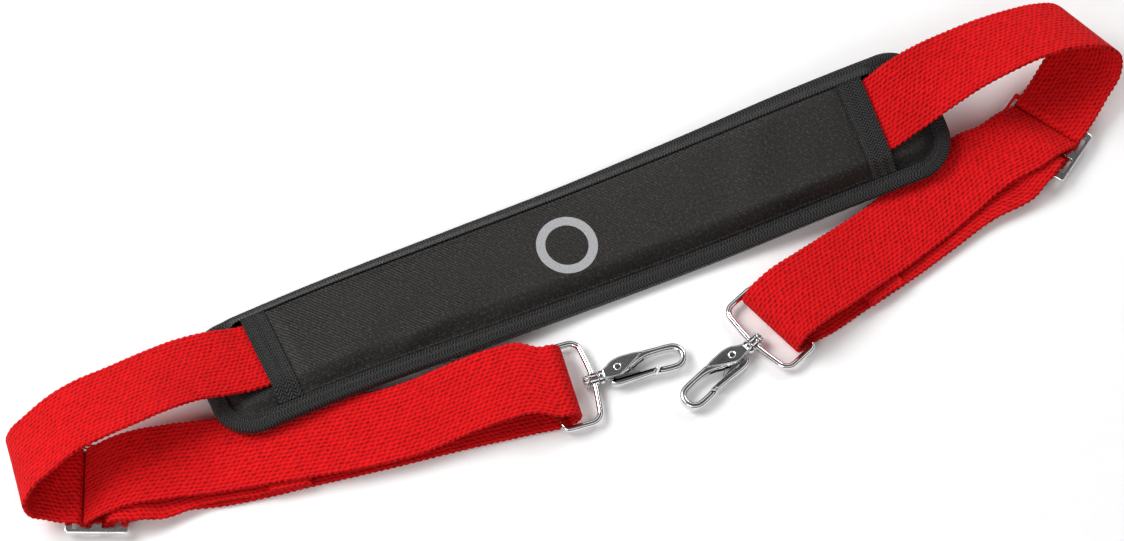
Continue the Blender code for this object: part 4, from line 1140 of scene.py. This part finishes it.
def place(obj, point, heading, roll=0.0):
    """Move a part from its own frame to its place."""
    turn, tip = (Matrix.Rotation(math.radians(angle), 4, axis)
                 for angle, axis in ((heading, "Z"), (roll, "X")))
    spot = Vector(point) + Vector(PAD_ORIGIN)
    obj.matrix_world = Matrix.Translation(spot * MM) @ turn @ tip
    return obj


def place_flat(obj, spot, height):
    """Put a slider or ring in its place, the right ones turned round."""
    x, y, turn, way = spot
    return place(obj, (x, y, height), turn if way > 0 else turn + 180)


def place_on_ring(obj, side):
    """Put a hook part, made about the ring's boss, in its place."""
    x, y, turn, way = RINGS[side]
    flip = 0.0 if way > 0 else 180.0
    return place(obj, (x, y, RING_HEIGHT), turn + flip, flip)


def rounded_rectangle(low, high, half, corner, steps):
    """Anticlockwise outline from low to high in x and half to each side in y."""
    points = []
    for x, y, start in ((high - corner, corner - half, -90), (high - corner, half - corner, 0),
                        (low + corner, half - corner, 90), (low + corner, corner - half, 180)):
        points += arc((x, y), corner, start, start + 90, steps)
    return points


def slider(side, look):
    """Three-bar slider with rounded bars and turned-down end rails."""
    half_l, half_w = SLIDER_LENGTH / 2, SLIDER_WIDTH / 2
    base, top = SLIDER_BASE, SLIDER_BASE + SLIDER_PLATE
    outline = rounded_rectangle(-half_l, half_l, half_w, SLIDER_CORNER, 8)
    body = prism(f"slider_{side}_plate", outline, base, top, look, radius=0.9)
    slot_half = half_w - SLIDER_RAIL
    for low, high in ((-half_l + SLIDER_BAR, -SLIDER_MIDDLE_BAR / 2),
                      (SLIDER_MIDDLE_BAR / 2, half_l - SLIDER_BAR)):
        hole = rounded_rectangle(low, high, slot_half, SLOT_CORNER, 4)
        boolean(body, prism("slot", hole, base - 2, top + 2, look), "DIFFERENCE")
    for way in (-1, 1):
        low, high = sorted((way * (half_w - 2.0), way * (half_w - 0.35)))
        rail = [(-half_l + 3, low), (half_l - 3, low), (half_l - 3, high), (-half_l + 3, high)]
        bar = prism("rail", rail, base - SLIDER_FLANGE, base + 1.2, look, radius=0.35)
        boolean(body, bar, "UNION")
    mod = body.modifiers.new("soft_edges", "BEVEL")
    mod.width, mod.segments, mod.limit_method = 0.00035, 2, "ANGLE"
    mod.angle_limit = math.radians(50)
    return place_flat(crisp(body), SLIDERS[side], 0.0)


def ring_path():
    """Middle line of the ring's wire, anticlockwise, with its front bar bowed."""
    half = RING_WIDTH / 2 - RING_WIRE / 2
    rear = -(RING_DEPTH - RING_WIRE)
    r, tight = RING_CORNER, 3.5
    path = arc((rear + tight, -half + tight), tight, 180, 270, 10)
    path += arc((-r - RING_BOW, -half + r), r, 270, 355, 14)
    path += [(-RING_BOW / 2, -half / 2), (0.0, -4.0), (0.0, 4.0), (-RING_BOW / 2, half / 2)]
    path += arc((-r - RING_BOW, half - r), r, 5, 90, 14)
    return path + arc((rear + tight, half - tight), tight, 90, 180, 10)


def ring(side, look):
    """Wire ring with a drum-shaped boss in the middle of its front bar."""
    path = np.array(resample(ring_path(), WIRE_STEP))
    along = unit(np.roll(path, -1, 0) - np.roll(path, 1, 0))
    wire = RING_WIRE / 2
    rings = [[(x + ay * wire * math.cos(a), y - ax * wire * math.cos(a), wire * math.sin(a))
              for a in round_angles(WIRE_SIDES)] for (x, y), (ax, ay) in zip(path, along)]
    body = metal_skin(f"ring_{side}_wire", np.array(rings), look, closed=True, sharp=60.0)
    half, r = BOSS_LENGTH / 2, BOSS_RADIUS
    drum = [(-half, r - 0.7), (-half + 0.2, r - 0.3), (-half + 0.6, r), (-half + 1.3, r),
            (-half + 1.7, r - 0.35), (half - 1.7, r - 0.35), (half - 1.3, r),
            (half - 0.6, r), (half - 0.2, r - 0.3), (half, r - 0.7)]
    boolean(body, turned("boss", drum, look, WIRE_SIDES), "UNION")
    bore(body, -half - 2, half + 2, BOSS_BORE, look)
    return place_flat(body, RINGS[side], RING_HEIGHT)


def hook_outline():
    """Edge of the hook's loop and spine, anticlockwise from the collar."""
    inner, tip = HOOK_HALF - HOOK_BAR, HOOK_TIP - HOOK_HALF
    points = [(COLLAR_END - 1.0, -2.6), (9.0, -3.2), (13.0, -3.7), (17.0, -3.4), (20.0, -2.0),
              (23.5, -0.7), (26.7, 0.5), (31.0, 2.8), (36.0, 4.4), (42.0, 5.0), (47.0, 5.0)]
    points += arc((tip, 0.0), inner, 90, -90, 10)
    points += [(46.5, -4.7), (43.0, -4.5), (42.6, -4.5), (39.6, -8.6), (43.0, -9.1)]
    points += arc((tip, 0.0), HOOK_HALF, -90, 90, 12)
    return points + [(44.0, 9.4), (34.0, 9.6), (24.0, 9.7), (18.0, 9.4), (13.0, 8.0),
                     (9.5, 5.6), (COLLAR_END - 1.0, 3.6)]


def cheek_outline():
    """Edge of the thicker broad end."""
    return [(COLLAR_END - 0.5, -2.6), (9.0, -3.0), (13.0, -3.5), (17.0, -3.2), (20.0, -1.7),
            (24.0, 0.6), (28.0, 3.2), (32.0, 5.9), (35.0, 8.2), (30.0, 9.2), (24.0, 9.4),
            (18.0, 9.1), (13.0, 7.7), (9.5, 5.3), (COLLAR_END - 0.5, 3.4)]


def slot_outline():
    """Pocket for the gate's tongue and its spring."""
    return [(12.2, -8.0), (34.5, -8.0), (34.5, 6.3), (25.0, 6.4), (20.0, 6.7), (14.6, 6.7),
            (12.2, 4.6)]


def gate_arm_outline():
    """Outer arm of the gate, from its thumb end to its slanted tip."""
    return [(8.6, -4.6), (10.0, -6.9), (13.0, -8.7), (18.0, -9.1), (28.0, -8.5), (38.5, -8.0),
            (41.8, -4.2), (34.0, -4.1), (24.0, -4.4), (16.0, -4.6)]


def gate_tongue_outline():
    """Flat tongue of the gate, round its pivot."""
    foot = [(PIVOT[0] - 2.8, -5.6), (31.0, -5.6), (30.0, -3.9), (22.0, -2.4)]
    return foot + arc(PIVOT, 3.5, 0, 180, 16)


def hook(side, look):
    """Hook, cheeks, collar and shank in one casting with rounded rims."""
    depth, cheek = HOOK_DEPTH / 2, CHEEK_DEPTH / 2
    body = prism(f"hook_{side}_casting", resample(hook_outline(), OUTLINE_STEP), -depth, depth,
                 look, radius=2.1, steps=6)
    broad = prism("cheek", resample(cheek_outline(), OUTLINE_STEP), -cheek, cheek, look,
                  radius=1.2, steps=5)
    boolean(body, broad, "UNION")
    e = SHANK_END
    start, end, r = COLLAR_START, COLLAR_END, COLLAR_RADIUS
    profile = [(-e, SHANK_HEAD - 1.3), (-e + 0.15, SHANK_HEAD - 0.6), (-e + 0.6, SHANK_HEAD),
               (-e + 1.3, SHANK_HEAD), (-e + 1.3, SHANK_RADIUS), (start, SHANK_RADIUS),
               (start, r - 0.4), (start + 0.15, r - 0.1), (start + 0.4, r), (end - 1.0, r),
               (end - 0.5, r - 0.2), (end + 0.1, r - 0.9), (end + 0.8, 3.2)]
    boolean(body, turned("shank", profile, look, 44), "UNION")
    boolean(body, prism("pocket", slot_outline(), -GATE_SLOT / 2, GATE_SLOT / 2, look),
            "DIFFERENCE")
    pivot_hole(body, look)
    return place_on_ring(crisp(body), side)


def gate(side, look):
    """Sprung gate with a rounded arm and a flat tongue."""
    depth = HOOK_DEPTH / 2
    body = prism(f"gate_{side}_lever", resample(gate_arm_outline(), OUTLINE_STEP), -depth,
                 depth, look, radius=1.9, steps=6)
    tongue = prism("tongue", gate_tongue_outline(), -GATE_TONGUE / 2, GATE_TONGUE / 2, look)
    boolean(body, tongue, "UNION")
    pivot_hole(body, look)
    return place_on_ring(crisp(body), side)


def rivet(side, look):
    """Rivet with low domed heads, each with a struck cross."""
    end = CHEEK_DEPTH / 2 + GAP
    dome = [(0.55, 0.9), (0.48, 1.6), (0.36, 2.1), (0.2, 2.5), (0.0, RIVET_HEAD)]
    profile = [(-end - x, r) for x, r in dome] + [(-end, PIVOT_RADIUS), (end, PIVOT_RADIUS)]
    profile += [(end + x, r) for x, r in reversed(dome)]
    body = turned(f"gate_rivet_{side}_pin", profile, look, 36)
    bar = [(-0.32, -1.5), (0.32, -1.5), (0.32, 1.5), (-0.32, 1.5)]
    for turn in (40, 130):
        a = math.radians(turn)
        spun = [(x * math.cos(a) - y * math.sin(a), x * math.sin(a) + y * math.cos(a))
                for x, y in bar]
        for way in (-1, 1):
            low, high = sorted((way * (end + 0.3), way * (end + 2.0)))
            cut = prism("cross", spun, low, high, look)
            cut.data.transform(Matrix.Rotation(math.radians(-90), 4, "Y"))
            boolean(body, cut, "DIFFERENCE")
    upright = Matrix.Translation((PIVOT[0] * MM, PIVOT[1] * MM, 0.0))
    body.data.transform(upright @ Matrix.Rotation(math.radians(90), 4, "Y"))
    return place_on_ring(crisp(body), side)


def spring(side, look):
    """Leaf spring that bends between the pocket's roof and the gate."""
    corners = [(32.5, 5.6, 0), (27.5, 5.3, 0), (24.0, 4.3, 0), (22.4, 2.6, 0), (23.4, 0.9, 0),
               (26.5, -1.0, 0), (30.0, -3.2, 0)]
    path = np.array([spline(corners, t)[:2] for t in np.linspace(0, len(corners) - 1, 61)])
    along = unit(np.gradient(path, axis=0))
    out = np.stack([along[:, 1], -along[:, 0]], -1) * 0.2
    rings = []
    for spot, way in zip(path, out):
        rings.append([(*(spot + way * a), b) for a, b in
                      ((-1, -1.15), (-1, 0.0), (-1, 1.15), (-0.4, 1.3), (0.4, 1.3), (1, 1.15),
                       (1, 0.0), (1, -1.15), (0.4, -1.3), (-0.4, -1.3))])
    leaf = place_on_ring(metal_skin(f"gate_spring_{side}_leaf", np.array(rings), look), side)
    bpy.context.view_layer.update()
    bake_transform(leaf)
    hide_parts(f"gate_spring_{side}")


def washer(side, look):
    """Knurled washer between the ring's boss and the shank's riveted head."""
    inner, outer = -BOSS_LENGTH / 2 - GAP, -SHANK_END + 1.3 + GAP
    r = BUTTON_RADIUS
    profile = [(outer, r - 0.6), (outer + 0.25, r - 0.15), (outer + 0.45, r),
               (inner - 0.4, r), (inner - 0.15, r - 0.15), (inner, r - 0.5)]
    body = turned(f"swivel_washer_{side}_knurled", profile, look, 96,
                  lambda k, radius: -0.28 * (k % 4 in (0, 3)) if radius > r - 0.3 else 0.0)
    bore(body, outer - 2, inner + 2, SHANK_RADIUS + GAP, look)
    return place_on_ring(crisp(body), side)


# --- studio ---------------------------------------------------------------------------

def camera():
    """Long lens from above the near side, a little to the left."""
    azimuth, elevation = math.radians(CAMERA_AZIMUTH), math.radians(CAMERA_ELEVATION)
    back = Vector((math.sin(azimuth) * math.cos(elevation),
                   -math.cos(azimuth) * math.cos(elevation), math.sin(elevation)))
    right = Vector((math.cos(azimuth), math.sin(azimuth), 0.0))
    data = bpy.data.cameras.new("camera")
    data.lens, data.sensor_width = CAMERA_LENS, 36.0
    data.clip_start, data.clip_end = 0.05, 50.0
    obj = linked("camera", data)
    turn = Matrix((right, back.cross(right), back)).transposed().to_4x4()
    target = Vector((PAD_ORIGIN[0] * MM, PAD_ORIGIN[1] * MM, 0.0))
    obj.matrix_world = Matrix.Translation(target + back * CAMERA_DISTANCE) @ turn
    bpy.context.scene.camera = obj


def area_light(name, spot, size, power):
    """Square lamp turned to face the part."""
    data = bpy.data.lights.new(name, "AREA")
    data.shape, data.size, data.size_y = "RECTANGLE", size, size
    data.energy = power
    obj = linked(name, data)
    obj.location = spot
    obj.rotation_euler = (-Vector(spot)).to_track_quat("-Z", "Y").to_euler()


def surround():
    """White tent, dark low down, overhead and in one gap, for the metal to show."""
    world = bpy.context.scene.world = bpy.data.worlds.new("studio")
    g = Graph(world)
    split = g.node("ShaderNodeSeparateXYZ")
    g.feed(split.inputs[0], g.node("ShaderNodeTexCoord").outputs["Generated"])

    def ramp(axis, *stops):
        made = g.node("ShaderNodeValToRGB")
        band = made.color_ramp
        while len(band.elements) < len(stops):
            band.elements.new(0.5)
        for element, (at, value) in zip(band.elements, stops):
            element.position = at
            element.color = (value, value, value, 1.0)
        g.feed(made.inputs[0], split.outputs[axis])
        return made.outputs[0]

    height = ramp(2, (0.0, 0.06), (0.30, 0.02), (0.52, 0.03), (0.60, 1.0), (0.78, 1.0),
                  (0.86, 0.12), (1.0, 0.12))
    side = ramp(1, (0.0, 1.0), (0.12, 1.0), (0.18, 0.03), (0.30, 0.03), (0.36, 1.0))
    back = g.tree.nodes["Background"]
    g.feed(back.inputs["Color"], g.mix(1.0, height, side, "MULTIPLY"))
    g.feed(back.inputs["Strength"], 1.08)


def studio():
    """Pale floor, broad soft lights and a graded surround."""
    floor = finish_mesh("floor", [(-6, -6, 0), (6, -6, 0), (6, 6, 0), (-6, 6, 0)],
                        [[0, 1, 2, 3]], None, smooth=False)
    floor.location.z = -0.0005
    g = material("floor_paper")
    grain = g.noise(g.place(), 60.0, 3.0)
    paper = g.mix(grain, (0.90, 0.90, 0.90), (0.94, 0.94, 0.94))
    floor.data.materials.append(g.set(Base_Color=paper, Roughness=0.9, Specular_IOR_Level=0.1))
    surround()
    area_light("key", (-1.15, 0.95, 1.75), 1.2, 40.0)
    area_light("left_front", (-1.5, -1.0, 1.3), 0.9, 11.0)
    area_light("right_back", (1.6, 0.9, 1.5), 0.9, 14.0)
    bpy.context.scene.view_settings.view_transform = "Standard"


# --- assembly -------------------------------------------------------------------------

def wear(obj, body, slot, *nodes):
    """Make a piece ride on a body and stand for its frame nodes."""
    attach(obj, body)
    if nodes:
        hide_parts(*nodes)
    return obj


def make_pad():
    """The pad with its cloths, binding, tapes, stitches and print."""
    cloth = pad_cloth_look("pad_twill", (0.0088, 0.0076, 0.0070), sheen=0.02, rough=0.55)
    panel = pad_cloth_look("panel_twill", (0.0108, 0.0093, 0.0085), sheen=0.04, rough=0.45)
    rib = tape_look("rim_tape", rib=0.0020, lean=0.45)
    weave = tape_look("hem_weave", rib=0.0021, lean=0.9)
    thread = thread_look("black_thread", (0.012, 0.012, 0.012), (0.085, 0.082, 0.08))
    backing, core, cover = pad_layers(cloth, foam_look())
    for layer, slot, node in ((backing, "pad_cloth", "pad_backing"),
                              (core, "foam", "pad_foam_core"),
                              (cover, "pad_cloth", "pad_cover")):
        wear(layer, "strap", slot, node)
    panel_cloth = wear(sleeve(panel), "strap", "pad_cloth", "sleeve_panel")
    tape, places = binding(rib)
    wear(tape, "strap", "binding_tape", "pad_binding")
    stitched = round_rim(places, RIM_STITCH, BINDING_THICK - 0.20)
    stitches = running_stitches(stitched, True, RIM_PITCH, share=0.74, sink=0.35)
    rim_thread = threads("rim_stitches", stitches, 0.30, thread)
    wear(rim_thread, "strap", "binding_tape")
    for side, low in (("left", SLEEVE_LEFT), ("right", SLEEVE_RIGHT - HEM_WIDTH)):
        tape = hem(f"hem_{side}", low, weave)
        wear(tape, "strap", "binding_tape", f"hem_tape_{side}")
        wear(hem_thread(side, low, thread), "strap", "binding_tape")
    for side, aside in (("near", -1), ("far", 1)):
        stitches = running_stitches(panel_seam(aside), False, pitch=3.0, share=0.72, sink=0.3)
        seam = threads(f"{side}_seam", stitches, 0.26, thread)
        wear(seam, "strap", "binding_tape")
    mark = wear(printed_ring(print_look()), "strap", "grey_print", "printed_mark")


def hem_thread(side, low, look):
    """Looping stitch row along the hem tape's inner edge."""
    inner_edge = low + HEM_WIDTH - HEM_STITCH if side == "left" else low + HEM_STITCH
    inner = PAD_WIDTH / 2 - BINDING_WIDTH - 1.5
    base = CLOTH + SOFT_GAP + BINDING_THICK - 0.05

    def spot(v, aside):
        u = inner_edge + aside
        return pad_points(u, v, float(sleeve_height(u, v)) + base)

    row = zigzag(-inner, inner, spot, pitch=2.3, width=0.85)
    return threads(f"hem_{side}_stitches", [row], 0.22, look)


def printed_ring(look):
    """Plain ring printed on the panel."""
    count = 120
    radii = MARK_RADIUS - np.array([0.0, 0.0, 2.0, 4.0, 6.0, 6.0, 4.0, 2.0])
    lift = np.array([-0.05, 0.07, 0.07, 0.07, 0.07, -0.05, -0.05, -0.05])
    rings = []
    for a in round_angles(count):
        u, v = MARK_CENTRE[0] + radii * math.cos(a), MARK_CENTRE[1] + radii * math.sin(a)
        rings.append(pad_points(u, v, sleeve_height(u, v) + CLOTH + wrinkle(u, v) + lift))
    across = np.concatenate([radii, radii[:1]])
    run = np.arange(count + 1) * 2 * math.pi * MARK_RADIUS / count
    return skin("printed_ring", rings, across, run, look, closed=True)


def make_webbing():
    """The webbing with the stitches of both tail tabs."""
    look = webbing_look()
    thread = thread_look("red_thread", (0.20, 0.002, 0.003), (0.55, 0.012, 0.012))
    band, length, left, right = webbing(look)
    nodes = [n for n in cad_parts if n.startswith(("webbing_", "tail_tab_"))]
    wear(band, "strap", "red_webbing", *nodes)
    rows = [wear(tab_stitches(places, f"tab_{side}_stitches", thread), "strap", "red_webbing")
            for side, places in (("left", left), ("right", right))]


def make_metal():
    """Sliders, rings, hooks and gates of both sides."""
    # name, colour, lowest and highest roughness, bump distance in metres
    plate, wire, cast, steel = [metal_look(*values) for values in (
        ("nickel_plate", (0.86, 0.86, 0.87), 0.05, 0.12, 0.00004),
        ("nickel_wire", (0.84, 0.84, 0.85), 0.04, 0.11, 0.00003),
        ("plated_casting", (0.78, 0.78, 0.79), 0.09, 0.22, 0.00009),
        ("spring_leaf", (0.45, 0.45, 0.47), 0.22, 0.4, 0.00005))]
    for side in ("left", "right"):
        wear(slider(side, plate), "strap", "bright_plate", f"slider_{side}")
        wear(ring(side, wire), f"ring_{side}_body", "bright_wire", f"ring_{side}")
        body = f"hook_{side}_body"
        wear(hook(side, cast), body, "cast_hook", f"hook_{side}")
        wear(rivet(side, wire), body, "bright_wire", f"gate_rivet_{side}")
        wear(washer(side, wire), body, "bright_wire", f"swivel_washer_{side}")
        wear(gate(side, cast), f"gate_{side}_body", "cast_hook", f"gate_{side}")
        spring(side, steel)


camera()
studio()
make_pad()
make_webbing()
make_metal()
